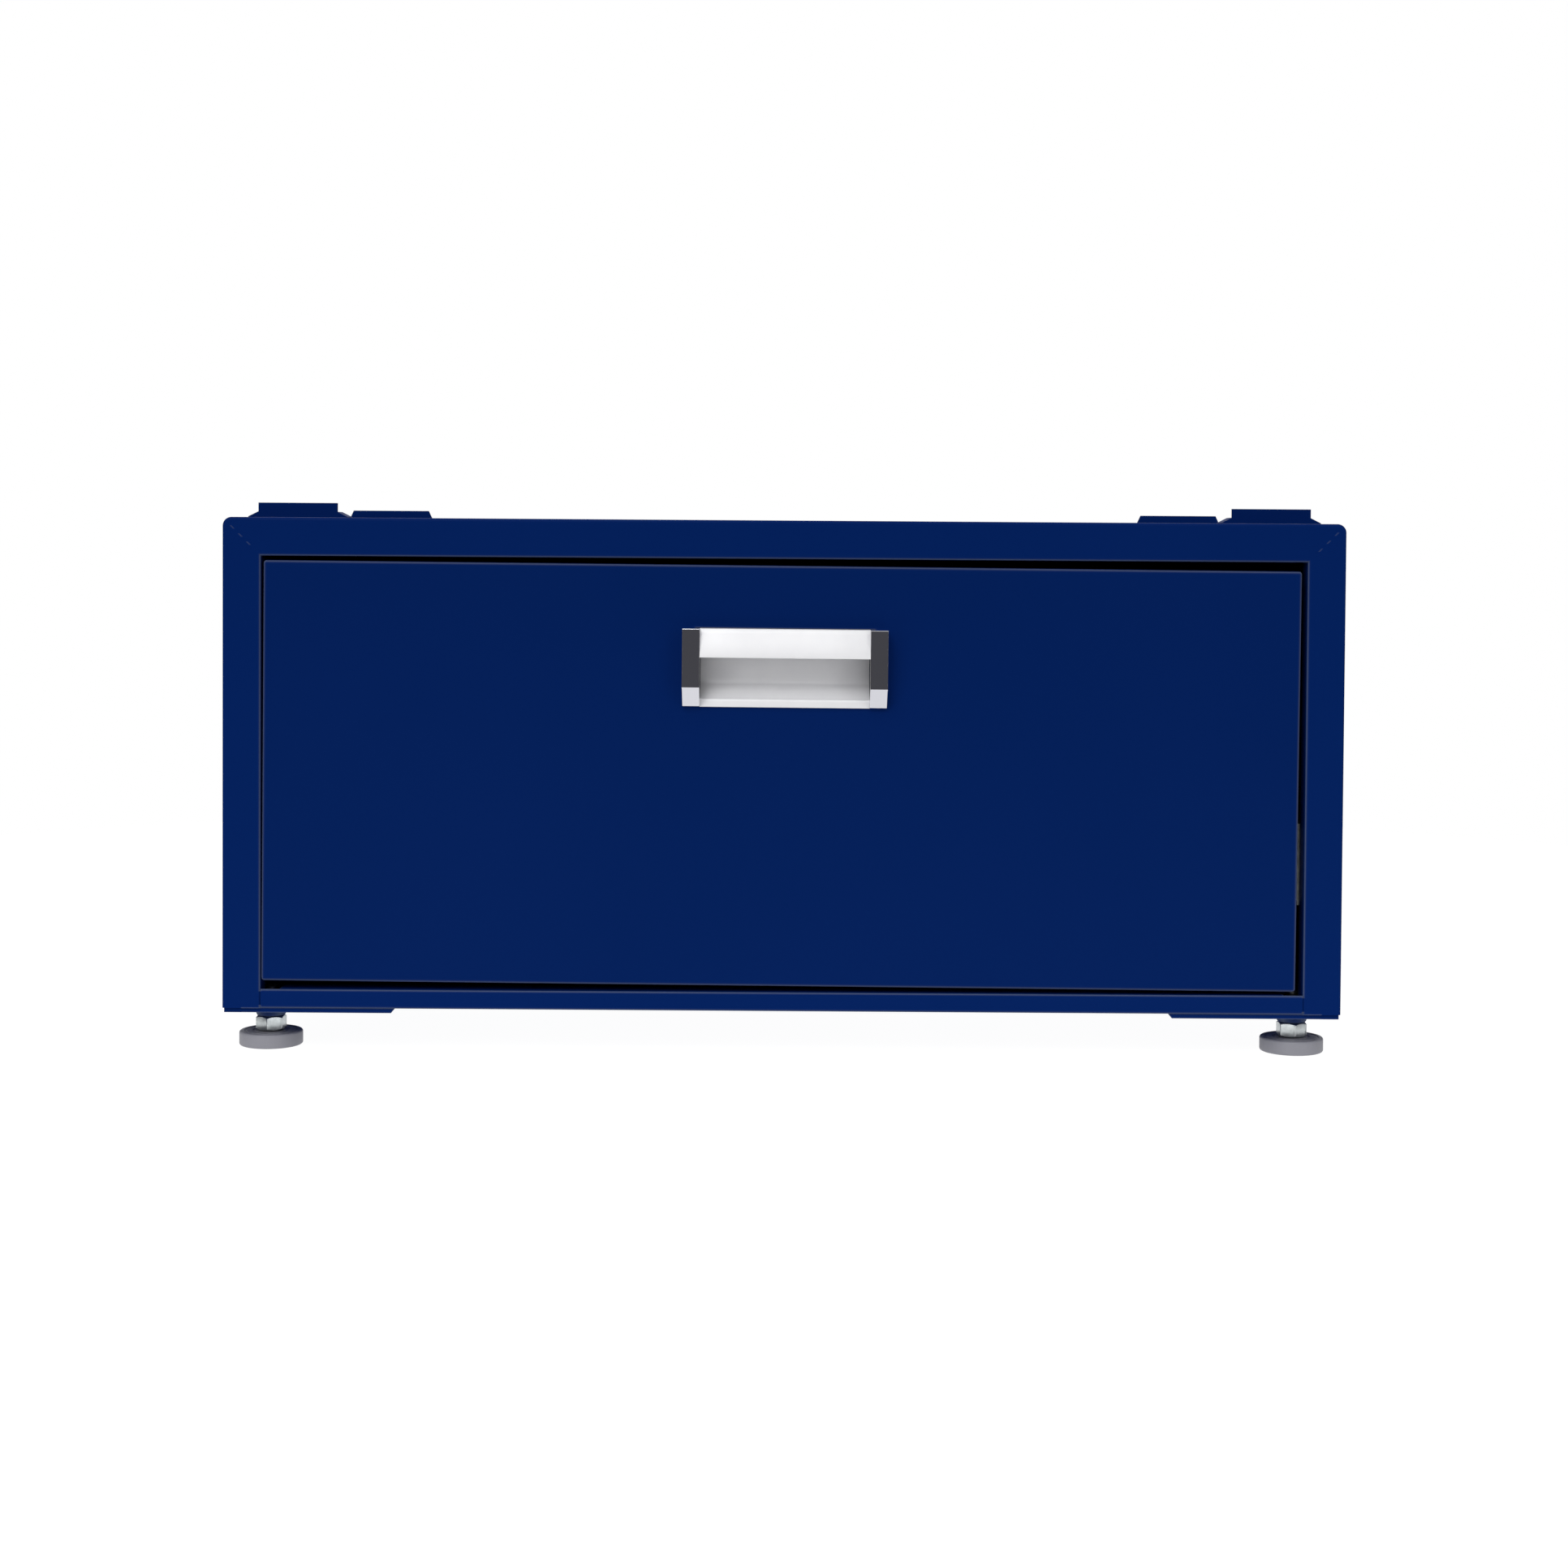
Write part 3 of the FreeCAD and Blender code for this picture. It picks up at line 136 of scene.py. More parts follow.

# ------------------------------------------------------------------ cabinet shell
# Sheet steel, folded, spot-welded and powder coated dark blue: the shell, the floor
# with its front lip, and the back panel. The coat has a faint orange peel; the paler
# colour along folds and cut edges is a painted highlight, standing for light on the bends.


def new_group(name, inputs, outputs):
    """An empty shader node group with named float, colour or vector sockets."""
    group = bpy.data.node_groups.new(name, "ShaderNodeTree")
    for label, kind, value in inputs:
        socket = group.interface.new_socket(label, in_out="INPUT", socket_type=kind)
        socket.default_value = value
    for label, kind in outputs:
        group.interface.new_socket(label, in_out="OUTPUT", socket_type=kind)
    return group, group.nodes.new("NodeGroupInput"), group.nodes.new("NodeGroupOutput")


def add_math(tree, operation, first, second, clamp=False):
    """A math node whose inputs are numbers or other nodes' outputs."""
    node = tree.nodes.new("ShaderNodeMath")
    node.operation = operation
    node.use_clamp = clamp
    for socket, value in zip(node.inputs, (first, second)):
        if isinstance(value, (int, float)):
            socket.default_value = value
        else:
            tree.links.new(value, socket)
    return node.outputs["Value"]


# Painted highlight: sharp edges, found by comparing a rounded normal with the plain one, and
# folds, by how far the plain normal leans away from the cabinet's three main directions, get
# paler. It stops beyond Side and Top, and in the band that was ground flush. Mitre shows the
# tack welds left along the 45 degree seams of the front's upper corners.
edge_highlight_and_tacks, highlight_in, highlight_out = new_group(
    "edge_highlight_and_tacks",
    [("Width", "NodeSocketFloat", 0.0015), ("Sharpness", "NodeSocketFloat", 4.0),
     ("Folds", "NodeSocketFloat", 3.0), ("Side", "NodeSocketFloat", 1.0),
     ("Top", "NodeSocketFloat", 1.0), ("Flush Low", "NodeSocketFloat", -1.0),
     ("Flush High", "NodeSocketFloat", -1.0), ("Mitre", "NodeSocketFloat", 0.0)],
    [("Edge", "NodeSocketFloat")])
rounded = edge_highlight_and_tacks.nodes.new("ShaderNodeBevel")
rounded.samples = 8
plain = edge_highlight_and_tacks.nodes.new("ShaderNodeNewGeometry")
agreement = edge_highlight_and_tacks.nodes.new("ShaderNodeVectorMath")
agreement.operation = "DOT_PRODUCT"
leaning = edge_highlight_and_tacks.nodes.new("ShaderNodeVectorMath")
leaning.operation = "ABSOLUTE"
lean = edge_highlight_and_tacks.nodes.new("ShaderNodeSeparateXYZ")
edge_highlight_and_tacks.links.new(highlight_in.outputs["Width"], rounded.inputs["Radius"])
edge_highlight_and_tacks.links.new(rounded.outputs["Normal"], agreement.inputs[0])
edge_highlight_and_tacks.links.new(plain.outputs["Normal"], agreement.inputs[1])
edge_highlight_and_tacks.links.new(plain.outputs["Normal"], leaning.inputs[0])
edge_highlight_and_tacks.links.new(leaning.outputs["Vector"], lean.inputs["Vector"])
turned_away = add_math(edge_highlight_and_tacks, "SUBTRACT", 1, agreement.outputs["Value"])
cut_edge = add_math(edge_highlight_and_tacks, "MULTIPLY", turned_away, highlight_in.outputs["Sharpness"])
widest = add_math(edge_highlight_and_tacks, "MAXIMUM", lean.outputs["X"], lean.outputs["Y"])
widest = add_math(edge_highlight_and_tacks, "MAXIMUM", widest, lean.outputs["Z"])
off_axis = add_math(edge_highlight_and_tacks, "SUBTRACT", 1, widest)
fold = add_math(edge_highlight_and_tacks, "MULTIPLY", off_axis, highlight_in.outputs["Folds"])
edge = add_math(edge_highlight_and_tacks, "MAXIMUM", cut_edge, fold, clamp=True)
where = edge_highlight_and_tacks.nodes.new("ShaderNodeTexCoord")
spot = edge_highlight_and_tacks.nodes.new("ShaderNodeSeparateXYZ")
edge_highlight_and_tacks.links.new(where.outputs["Object"], spot.inputs["Vector"])
off_middle = add_math(edge_highlight_and_tacks, "ABSOLUTE", spot.outputs["X"], 0)
inside = add_math(edge_highlight_and_tacks, "LESS_THAN", off_middle, highlight_in.outputs["Side"])
below = add_math(edge_highlight_and_tacks, "LESS_THAN", spot.outputs["Z"], highlight_in.outputs["Top"])
over_band = add_math(edge_highlight_and_tacks, "GREATER_THAN", spot.outputs["Z"], highlight_in.outputs["Flush High"])
under_band = add_math(edge_highlight_and_tacks, "LESS_THAN", spot.outputs["Z"], highlight_in.outputs["Flush Low"])
out_of_band = add_math(edge_highlight_and_tacks, "MAXIMUM", over_band, under_band)
for limit in (inside, below, out_of_band):
    edge = add_math(edge_highlight_and_tacks, "MULTIPLY", edge, limit)

body_half_width = 0.350
body_top = 0.335
front_flange_y = -0.240
tack_half_width = 0.0006
tack_wave = 1250
tack_gap = 0.3
tacks_start = 0.003
tacks_end = 0.018
under_top = add_math(edge_highlight_and_tacks, "SUBTRACT", body_top, spot.outputs["Z"])
from_side = add_math(edge_highlight_and_tacks, "SUBTRACT", body_half_width, off_middle)
off_seam = add_math(edge_highlight_and_tacks, "SUBTRACT", under_top, from_side)
off_seam = add_math(edge_highlight_and_tacks, "ABSOLUTE", off_seam, 0)
wave = add_math(edge_highlight_and_tacks, "SINE", add_math(edge_highlight_and_tacks, "MULTIPLY", under_top, tack_wave), 0)
tack = add_math(edge_highlight_and_tacks, "LESS_THAN", off_seam, tack_half_width)
for operation, value, limit in (("GREATER_THAN", wave, tack_gap),
                                ("GREATER_THAN", under_top, tacks_start),
                                ("LESS_THAN", under_top, tacks_end),
                                ("LESS_THAN", spot.outputs["Y"], front_flange_y)):
    allowed = add_math(edge_highlight_and_tacks, operation, value, limit)
    tack = add_math(edge_highlight_and_tacks, "MULTIPLY", tack, allowed)
tack = add_math(edge_highlight_and_tacks, "MULTIPLY", tack, highlight_in.outputs["Mitre"])
edge = add_math(edge_highlight_and_tacks, "MAXIMUM", edge, tack)
edge_highlight_and_tacks.links.new(edge, highlight_out.inputs["Edge"])

mottle, mottle_in, mottle_out = new_group(
    "mottle",
    [("Scale", "NodeSocketFloat", 20.0), ("Low", "NodeSocketColor", (0, 0, 0, 1)),
     ("High", "NodeSocketColor", (1, 1, 1, 1))],
    [("Color", "NodeSocketColor"), ("Height", "NodeSocketFloat")])
place_in = mottle.nodes.new("ShaderNodeTexCoord")
cloud = mottle.nodes.new("ShaderNodeTexNoise")
cloud.inputs["Detail"].default_value = 4
between = mottle.nodes.new("ShaderNodeMix")
between.data_type = "RGBA"
mottle.links.new(place_in.outputs["Object"], cloud.inputs["Vector"])
mottle.links.new(mottle_in.outputs["Scale"], cloud.inputs["Scale"])
mottle.links.new(cloud.outputs["Fac"], between.inputs["Factor"])
mottle.links.new(mottle_in.outputs["Low"], between.inputs["A"])
mottle.links.new(mottle_in.outputs["High"], between.inputs["B"])
mottle.links.new(between.outputs["Result"], mottle_out.inputs["Color"])
mottle.links.new(cloud.outputs["Fac"], mottle_out.inputs["Height"])


def new_material(name, roughness, metallic=0.0, gloss=0.5):
    """A Principled material, with its node tree and shader."""
    material = bpy.data.materials.new(name)
    material.use_nodes = True
    tree = material.node_tree
    shader = tree.nodes["Principled BSDF"]
    shader.inputs["Roughness"].default_value = roughness
    shader.inputs["Metallic"].default_value = metallic
    shader.inputs["Specular IOR Level"].default_value = gloss
    return material, tree, shader


def use_group(tree, group, **values):
    """Place a node group in a material with its own values."""
    node = tree.nodes.new("ShaderNodeGroup")
    node.node_tree = group
    for label, value in values.items():
        node.inputs[label].default_value = value
    return node


def add_bump(tree, shader, height_output, depth):
    """Raise fine relief on a material from a height output."""
    bump = tree.nodes.new("ShaderNodeBump")
    bump.inputs["Distance"].default_value = depth
    tree.links.new(height_output, bump.inputs["Height"])
    tree.links.new(bump.outputs["Normal"], shader.inputs["Normal"])


def mottled(name, roughness, scale, low, high, metallic=0.0, gloss=0.5, relief=0.0, grain=None):
    """A material that wanders between two shades, with relief from them or a finer grain."""
    material, tree, shader = new_material(name, roughness, metallic, gloss)
    tone = use_group(tree, mottle, Scale=scale, Low=(*low, 1), High=(*high, 1))
    tree.links.new(tone.outputs["Color"], shader.inputs["Base Color"])
    if relief:
        source = use_group(tree, mottle, Scale=grain) if grain else tone
        add_bump(tree, shader, source.outputs["Height"], relief)
    return material


def powder_coat(name, low, high, highlight_colour, **limits):
    """Blue coat between two close shades, with painted highlights along its edges."""
    material, tree, shader = new_material(name, 0.4, gloss=0.015)
    drift = use_group(tree, mottle, Scale=7.0, Low=low, High=high)
    peel = use_group(tree, mottle, Scale=900.0)
    edges = use_group(tree, edge_highlight_and_tacks, Width=0.0015, Sharpness=4.0, Folds=3.0)
    for label, value in limits.items():
        edges.inputs[label.replace("_", " ")].default_value = value
    # Painted highlight: the paler colour mixed in along edges stands for light on the bends.
    highlighted = tree.nodes.new("ShaderNodeMix")
    highlighted.data_type = "RGBA"
    highlighted.inputs["B"].default_value = highlight_colour
    tree.links.new(edges.outputs["Edge"], highlighted.inputs["Factor"])
    tree.links.new(drift.outputs["Color"], highlighted.inputs["A"])
    tree.links.new(highlighted.outputs["Result"], shader.inputs["Base Color"])
    add_bump(tree, shader, peel.outputs["Height"], 0.00004)
    return material


# The third colour is the painted edge highlight, also used for the tack welds.
cabinet_blue = powder_coat("cabinet_powder_coat", (0.0006, 0.0123, 0.088, 1),
                           (0.0012, 0.0137, 0.096, 1), (0.066, 0.088, 0.150, 1),
                           Side=0.338, Top=0.322, Flush_Low=0.0300, Flush_High=0.0385,
                           Mitre=0.28)


def dress(material, *names):
    """Give CAD nodes a material."""
    for name in names:
        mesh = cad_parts[name].data
        mesh.materials.clear()
        mesh.materials.append(material)


dress(cabinet_blue, "carcass_shell", "floor_panel", "back_panel")

# ------------------------------------------------------------------ plates, nuts and lugs
# Thick steel foot plates with threaded bosses welded under the floor, and upright
# stacking tabs welded to the top. They are coated together with the shell.

corners = ["front_left", "front_right", "rear_left", "rear_right"]
dress(cabinet_blue, "foot_weld_nuts")
for corner in corners:
    dress(cabinet_blue, f"foot_plate_{corner}", f"stacking_lug_{corner}")

# ------------------------------------------------------------------ back rivets
# Aluminium blind rivets that hold the back panel to the rear flanges: a low dome
# with the hollow that the broken-off pin leaves.

rivet_radius = 0.0032
rivet_height = 0.0012
shell_low, shell_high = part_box("carcass_shell")
rivet_line = 0.009
sheet_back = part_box("back_panel")[1].y

rivet_metal = mottled("rivet_aluminium", 0.42, 700.0, (0.5, 0.5, 0.51), (0.66, 0.66, 0.67),
                      metallic=1.0, relief=0.00003)


def begin_piece(name):
    """Name the new primitive, fix its place in its mesh, and open it for editing."""
    piece = bpy.context.object
    piece.name = name
    bpy.ops.object.transform_apply(location=True, rotation=True, scale=True)
    bpy.ops.object.mode_set(mode="EDIT")
    return piece


def pick_faces(test):
    """Select only the faces whose middle and normal pass the test."""
    bpy.ops.mesh.select_mode(type="FACE")
    bpy.ops.mesh.select_all(action="DESELECT")
    shape = bmesh.from_edit_mesh(bpy.context.object.data)
    for face in shape.faces:
        face.select_set(test(face.calc_center_median(), face.normal))
    bmesh.update_edit_mesh(bpy.context.object.data)


def pick_edges(test):
    """Select only the edges whose two end points pass the test."""
    bpy.ops.mesh.select_mode(type="EDGE")
    bpy.ops.mesh.select_all(action="DESELECT")
    shape = bmesh.from_edit_mesh(bpy.context.object.data)
    for line in shape.edges:
        line.select_set(test(line.verts[0].co, line.verts[1].co))
    bmesh.update_edit_mesh(bpy.context.object.data)


def close_piece(piece, smooth_angle=35):
    """Leave edit mode with clean outward normals and softly shaded curves."""
    bpy.ops.mesh.select_all(action="SELECT")
    bpy.ops.mesh.remove_doubles(threshold=0.000005)
    bpy.ops.mesh.normals_make_consistent(inside=False)
    bpy.ops.object.mode_set(mode="OBJECT")
    bpy.ops.object.shade_smooth_by_angle(angle=math.radians(smooth_angle))
    return piece


def copy_to(piece, spot, turn=0.0):
    """A copy with its own mesh, turned about Z and moved to a spot."""
    bpy.ops.object.select_all(action="DESELECT")
    twin = piece.copy()
    twin.data = piece.data.copy()
    scene.collection.objects.link(twin)
    twin.location = spot
    twin.rotation_euler = (0, 0, math.radians(turn))
    twin.select_set(True)
    bpy.context.view_layer.objects.active = twin
    bpy.ops.object.transform_apply(location=True, rotation=True, scale=True)
    return twin


def join_pieces(name, pieces):
    """Join pieces into the first one, under a new name."""
    bpy.ops.object.select_all(action="DESELECT")
    for piece in pieces:
        piece.select_set(True)
    bpy.context.view_layer.objects.active = pieces[0]
    bpy.ops.object.join()
    pieces[0].name = name
    return pieces[0]


def apply_modifier(piece, name, kind, **settings):
    """Add a modifier to the active piece, set it and apply it."""
    modifier = piece.modifiers.new(name, kind)
    for label, value in settings.items():
        setattr(modifier, label, value)
    bpy.ops.object.modifier_apply(modifier=modifier.name)


def fit_piece(piece, material, body, slot, *nodes):
    """Finish a piece with its material and let it stand for CAD nodes."""
    piece.data.materials.clear()
    piece.data.materials.append(material)
    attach(piece, body)
    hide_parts(*nodes)


def make_rivet(name):
    """A domed rivet head on the origin, facing +Y."""
    bpy.ops.mesh.primitive_cylinder_add(
        vertices=24, radius=rivet_radius, depth=rivet_height,
        location=(0, rivet_height / 2, 0), rotation=(math.radians(-90), 0, 0))
    piece = begin_piece(name)
    pick_faces(lambda middle, normal: normal.y > 0.9)
    bpy.ops.mesh.bevel(offset=rivet_height * 0.6, segments=3)
    pick_faces(lambda middle, normal: normal.y > 0.99)
    bpy.ops.mesh.inset(thickness=rivet_radius * 0.3, depth=rivet_height * 0.1)
    bpy.ops.mesh.inset(thickness=rivet_radius * 0.08, depth=-rivet_height * 0.5)
    return close_piece(piece)


rivet = make_rivet("rivet_pattern")
rivet_spots = []
for share in (0.2, 0.5, 0.8):
    level = shell_low.z + (shell_high.z - shell_low.z) * share
    for side in (-1, 1):
        rivet_spots.append((side * (shell_high.x - rivet_line), sheet_back, level))
for share in (-0.3, 0, 0.3):
    place = (shell_high.x - shell_low.x) * share
    rivet_spots.append((place, sheet_back, shell_high.z - rivet_line))
    rivet_spots.append((place, sheet_back, shell_low.z + rivet_line))
back_rivets = join_pieces("back_rivet_heads", [copy_to(rivet, spot) for spot in rivet_spots])
fit_piece(back_rivets, rivet_metal, "cabinet", "rivet_metal", "back_rivets")

# ------------------------------------------------------------------ foot studs
# Zinc-plated steel studs that screw up into the bosses: a rolled M10 thread, a
# hexagon with turned chamfers for the spanner, and a neck that snaps into the pad.

hexagon_low = 0.0095
hexagon_high = 0.0185
hexagon_flats = 0.017
hexagon_turn = 25
chamfer_rise = 0.0011
thread_radius = 0.005
thread_depth = 0.0008
thread_pitch = 0.0015
thread_turns = 12
stud_high = 0.038
neck_radius = 0.004
button_radius = 0.0068
button_low = 0.0036
button_high = 0.0074

zinc = mottled("zinc_plate", 0.36, 420.0, (0.40, 0.43, 0.44), (0.72, 0.76, 0.76),
               metallic=1.0, relief=0.00008)

# The turned blank: a round bar with conical ends, which cuts the hexagon's corners.
corner_radius = hexagon_flats / 2 / math.cos(math.radians(30))
bpy.ops.mesh.primitive_cylinder_add(
    vertices=96, radius=corner_radius + 0.0001,
    depth=hexagon_high - hexagon_low - 2 * chamfer_rise,
    location=(0, 0, (hexagon_low + hexagon_high) / 2))
blank = begin_piece("turned_blank")
for up in (-1, 1):
    pick_faces(lambda middle, normal: normal.z * up > 0.9)
    bpy.ops.mesh.extrude_region_move(TRANSFORM_OT_translate={"value": (0, 0, up * chamfer_rise)})
    shrink = (corner_radius - chamfer_rise * 1.7) / corner_radius
    bpy.ops.transform.resize(value=(shrink, shrink, 1),
                             center_override=(0, 0, hexagon_high if up > 0 else hexagon_low))
close_piece(blank)

bpy.ops.mesh.primitive_cylinder_add(
    vertices=6, radius=corner_radius, depth=hexagon_high - hexagon_low,
    location=(0, 0, (hexagon_low + hexagon_high) / 2),
    rotation=(0, 0, math.radians(90)))
hexagon = begin_piece("stud_hexagon")
close_piece(hexagon)
apply_modifier(hexagon, "turned_chamfers", "BOOLEAN", operation="INTERSECT", object=blank)
apply_modifier(hexagon, "softened_edges", "BEVEL", width=0.00025, segments=2,
               limit_method="ANGLE", angle_limit=math.radians(20))
bpy.data.objects.remove(blank)

# The core runs from the button in the pad to the chamfered tip.
core_radius = thread_radius - thread_depth
bpy.ops.mesh.primitive_cylinder_add(vertices=48, radius=button_radius,
                                    depth=button_high - button_low,
                                    location=(0, 0, (button_low + button_high) / 2))
core = begin_piece("stud_core")
pick_faces(lambda middle, normal: normal.z > 0.9)
bpy.ops.mesh.inset(thickness=button_radius - neck_radius)
bpy.ops.mesh.extrude_region_move(
    TRANSFORM_OT_translate={"value": (0, 0, hexagon_low - button_high)})
bpy.ops.mesh.extrude_region_move(
    TRANSFORM_OT_translate={"value": (0, 0, hexagon_high - hexagon_low)})
widen = core_radius / neck_radius
bpy.ops.transform.resize(value=(widen, widen, 1), center_override=(0, 0, hexagon_high))
bpy.ops.mesh.extrude_region_move(
    TRANSFORM_OT_translate={"value": (0, 0, stud_high - hexagon_high)})
bpy.ops.mesh.bevel(offset=0.0008, segments=1)
close_piece(core)

# The thread is one tooth swept up the core.
bpy.ops.mesh.primitive_plane_add(size=thread_depth, location=(core_radius - 0.0001, 0, hexagon_high))
thread = begin_piece("stud_thread")
bpy.ops.mesh.merge(type="CENTER")
for across, rise in ((thread_depth, 0.38), (0.0001, 0.2), (-thread_depth, 0.38)):
    bpy.ops.mesh.extrude_region_move(
        TRANSFORM_OT_translate={"value": (across, 0, rise * thread_pitch)})
bpy.ops.object.mode_set(mode="OBJECT")
apply_modifier(thread, "rolled_thread", "SCREW", axis="Z", screw_offset=thread_pitch,
               iterations=thread_turns, steps=32, render_steps=32)
bpy.ops.object.mode_set(mode="EDIT")
close_piece(thread)

stud = join_pieces("foot_stud_pattern", [core, hexagon, thread])
for corner in corners:
    low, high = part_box(f"foot_stud_{corner}")
    middle = (low + high) / 2
    turn = hexagon_turn if "left" in corner else -hexagon_turn
    piece = copy_to(stud, (middle.x, middle.y, 0), turn)
    piece.name = f"threaded_stud_{corner}"
    fit_piece(piece, zinc, f"stud_{corner}", "zinc_plate", f"foot_stud_{corner}")

# ------------------------------------------------------------------ foot pads
# Moulded grey plastic pads that swivel on the studs: a flat drum with rounded rims
# and two shallow rings on top.

pad_radius = 0.020
pad_height = 0.009
grey_plastic = mottled("grey_moulded_plastic", 0.5, 60.0, (0.190, 0.190, 0.218), (0.225, 0.225, 0.252),
                       gloss=0.4, relief=0.00004, grain=2500.0)

bpy.ops.mesh.primitive_cylinder_add(vertices=96, radius=pad_radius, depth=pad_height,
                                    location=(0, 0, pad_height / 2))
pad = begin_piece("foot_pad_pattern")
pick_faces(lambda middle, normal: abs(normal.z) > 0.9)
bpy.ops.mesh.bevel(offset=0.0013, segments=4)
pick_faces(lambda middle, normal: normal.z > 0.999 and middle.length < pad_height * 1.5)
for ring, dip in ((0.0016, 0), (0.0002, -0.0004), (0.0012, 0), (0.0002, 0.0004),
                  (0.0038, 0), (0.0002, -0.0004), (0.0012, 0), (0.0002, 0.0004)):
    bpy.ops.mesh.inset(thickness=ring)
    bpy.ops.transform.translate(value=(0, 0, dip))
pick_faces(lambda middle, normal: normal.z < -0.999)
bpy.ops.mesh.inset(thickness=0.003)
bpy.ops.transform.translate(value=(0, 0, 0.0005))
close_piece(pad)
for corner in corners:
    low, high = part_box(f"foot_pad_{corner}")
    middle = (low + high) / 2
    piece = copy_to(pad, (middle.x, middle.y, 0))
    piece.name = f"moulded_pad_{corner}"
    fit_piece(piece, grey_plastic, f"pad_{corner}", "grey_plastic", f"foot_pad_{corner}")

# ------------------------------------------------------------------ slides
# Two full-extension ball slides on hat brackets: zinc-plated steel members, thin
# ball cages, hardened balls, rubber stops, and flat and raised screws.

ball_steel = mottled("ball_steel", 0.12, 300.0, (0.55, 0.55, 0.56), (0.62, 0.62, 0.63),
                     metallic=1.0)

black_rubber = mottled("black_rubber", 0.8, 300.0, (0.012, 0.012, 0.012), (0.02, 0.02, 0.02),
                       relief=0.0001)

dress(zinc, "bracket_screws", "box_slide_screws")
dress(black_rubber, "closing_buffers")
for side in ("left", "right"):
    dress(zinc, f"slide_bracket_{side}", f"slide_outer_{side}", f"slide_middle_{side}",
          f"slide_inner_{side}", f"ball_cage_outer_{side}", f"ball_cage_inner_{side}")
    dress(ball_steel, f"balls_outer_{side}", f"balls_inner_{side}")

# ------------------------------------------------------------------ pull-out box
# Folded and riveted sheet steel with the same blue coat, a shade warmer.

# The third colour is the painted edge highlight.
panel_blue = powder_coat("box_powder_coat", (0.0006, 0.0116, 0.082, 1),
                         (0.0012, 0.0128, 0.089, 1), (0.066, 0.084, 0.145, 1))
dress(panel_blue, "box_body", "box_front", "box_back", "front_panel")
dress(rivet_metal, "box_rivets")
dress(zinc, "panel_screws")

# ------------------------------------------------------------------ shell handle
# A satin anodised aluminium extrusion: a hood over a finger recess with a sloping
# floor that ends in a flat lip. It passes through a cut-out in the panel and hangs
# at its slight tilt.

hang_angle = math.radians(0.27)
sheet_thickness = 0.0018
handle_height = 0.049
profile_half = 0.053
cap_reach = 0.0125
panel_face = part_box("handle_cap_left")[0].y + cap_reach
profile_low, profile_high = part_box("handle_profile")
handle_middle = Vector(((profile_low.x + profile_high.x) / 2, panel_face,
                        (profile_low.z + profile_high.z) / 2))

anodised = mottled("anodised_aluminium", 0.50, 90.0, (0.70, 0.70, 0.72), (0.76, 0.76, 0.77),
                   metallic=0.15, relief=0.00002, grain=1600.0)


def hang_on_panel(piece):
    """Turn a piece drawn about the handle's middle to the panel's tilt and place it."""
    bpy.ops.object.select_all(action="DESELECT")
    piece.select_set(True)
    bpy.context.view_layer.objects.active = piece
    piece.rotation_euler = (0, hang_angle, 0)
    piece.location = handle_middle
    bpy.ops.object.transform_apply(location=True, rotation=True, scale=True)


# The visible side of the sheet, from the top of the lip, through the recess, to the
# lower edge of the hood: distance behind the panel's face and height in millimetres.
lip_depth = -1.5
lip_height = 4.4
ceiling_height = 47.2
ceiling_back = 12.2
ceiling_front = -6.8
recess_line = [
    (-1.1, 5.0), (0.5, 5.4), (4.0, 8.0), (8.0, 11.2), (11.4, 13.9), (ceiling_back, 15.6),
    (ceiling_back, 32.0), (ceiling_back, ceiling_height), (3.0, ceiling_height),
    (ceiling_front, ceiling_height), (-7.9, 43.4), (-9.4, 38.5), (-10.4, 34.0), (-10.7, 31.0),
]
bpy.ops.mesh.primitive_plane_add(size=1, rotation=(math.radians(90), 0, 0))
profile = bpy.context.object
profile.scale = (2 * profile_half, lip_height / 1000, 1)
profile.location = (0, lip_depth / 1000, lip_height / 2000 - handle_height / 2)
begin_piece("handle_extrusion")
lip_top = lip_height / 1000 - handle_height / 2
pick_edges(lambda start, end: min(start.z, end.z) > lip_top - 0.0001)
spot = (lip_depth, lip_height)
for following in recess_line:
    step = ((following[0] - spot[0]) / 1000, (following[1] - spot[1]) / 1000)
    bpy.ops.mesh.extrude_region_move(TRANSFORM_OT_translate={"value": (0, step[0], step[1])})
    spot = following
ceiling = ceiling_height / 1000 - handle_height / 2
ceiling_middle = (ceiling_back + ceiling_front) / 2000
pick_edges(lambda start, end: abs(start.x - end.x) > profile_half
           and abs(start.z - ceiling) < 0.0001 and abs(start.y - ceiling_middle) > 0.005)
bpy.ops.transform.edge_crease(value=0.9)
bpy.ops.mesh.select_all(action="SELECT")
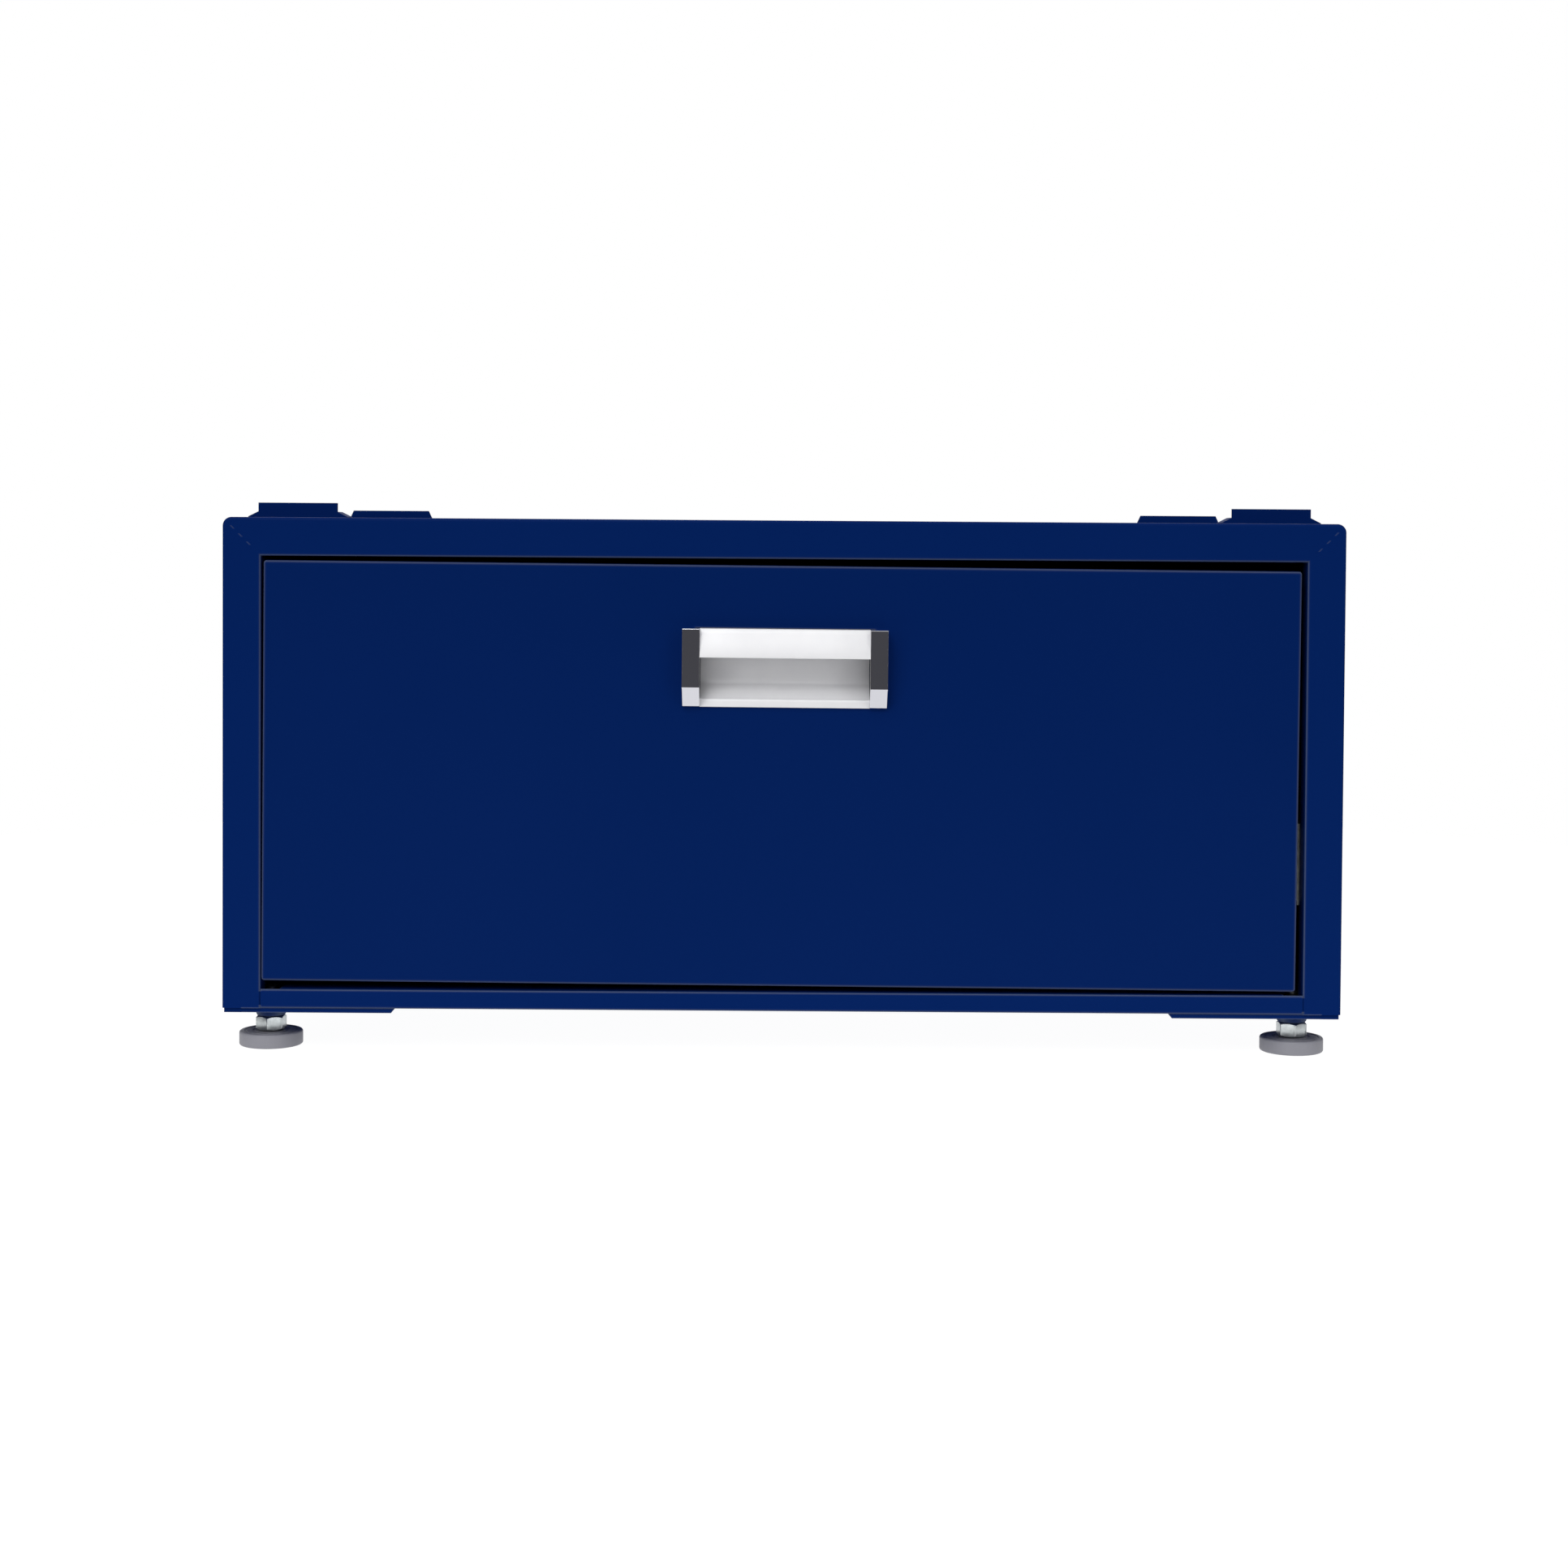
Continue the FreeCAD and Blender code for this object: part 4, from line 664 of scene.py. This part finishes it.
bpy.ops.mesh.remove_doubles(threshold=0.000005)
bpy.ops.object.mode_set(mode="OBJECT")
apply_modifier(profile, "drawn_curve", "SUBSURF", levels=2, render_levels=2,
               boundary_smooth="PRESERVE_CORNERS")
apply_modifier(profile, "extruded_wall", "SOLIDIFY", thickness=sheet_thickness, offset=-1,
               use_even_offset=True)
apply_modifier(profile, "broken_rims", "BEVEL", width=0.0003, segments=2,
               limit_method="ANGLE", angle_limit=math.radians(45))
bpy.ops.object.shade_smooth_by_angle(angle=math.radians(40))
hang_on_panel(profile)
fit_piece(profile, anodised, "box", "anodised_profile", "handle_profile")

# ------------------------------------------------------------------ handle end caps
# Polished chrome-plated castings that close the ends of the handle: flat in front,
# sloping back below, with softly rounded outer edges.

cap_width = 0.011
cap_slope_rise = 0.012
cap_slope_depth = 0.010

chrome = mottled("polished_chrome", 0.10, 40.0, (0.60, 0.60, 0.65), (0.68, 0.68, 0.72),
                 metallic=1.0)

for name, side in (("left", -1), ("right", 1)):
    bpy.ops.mesh.primitive_cube_add(size=1)
    cap = bpy.context.object
    cap.scale = (cap_width, cap_reach, handle_height)
    cap.location = (side * (profile_half + cap_width / 2), -cap_reach / 2, 0)
    begin_piece(f"chrome_cap_{name}")
    slope = Vector((0, -cap_slope_rise, -cap_slope_depth)).normalized()
    bpy.ops.mesh.bisect(plane_co=(0, -cap_reach, cap_slope_rise - handle_height / 2),
                        plane_no=slope, clear_outer=True, use_fill=True)
    outer = side * (profile_half + cap_width)
    pick_edges(lambda start, end: min(start.y, end.y) < -0.001
               and (abs(start.x - outer) < 0.0001 and abs(end.x - outer) < 0.0001
                    or abs(start.x - end.x) > 0.001))
    bpy.ops.mesh.bevel(offset=0.0006, segments=3)
    close_piece(cap)
    apply_modifier(cap, "flat_faces", "WEIGHTED_NORMAL", keep_sharp=True)
    hang_on_panel(cap)
    fit_piece(cap, chrome, "box", "chrome_cap", f"handle_cap_{name}")
dress(zinc, "handle_screws")

for pattern in (rivet, stud, pad):
    bpy.data.objects.remove(pattern)
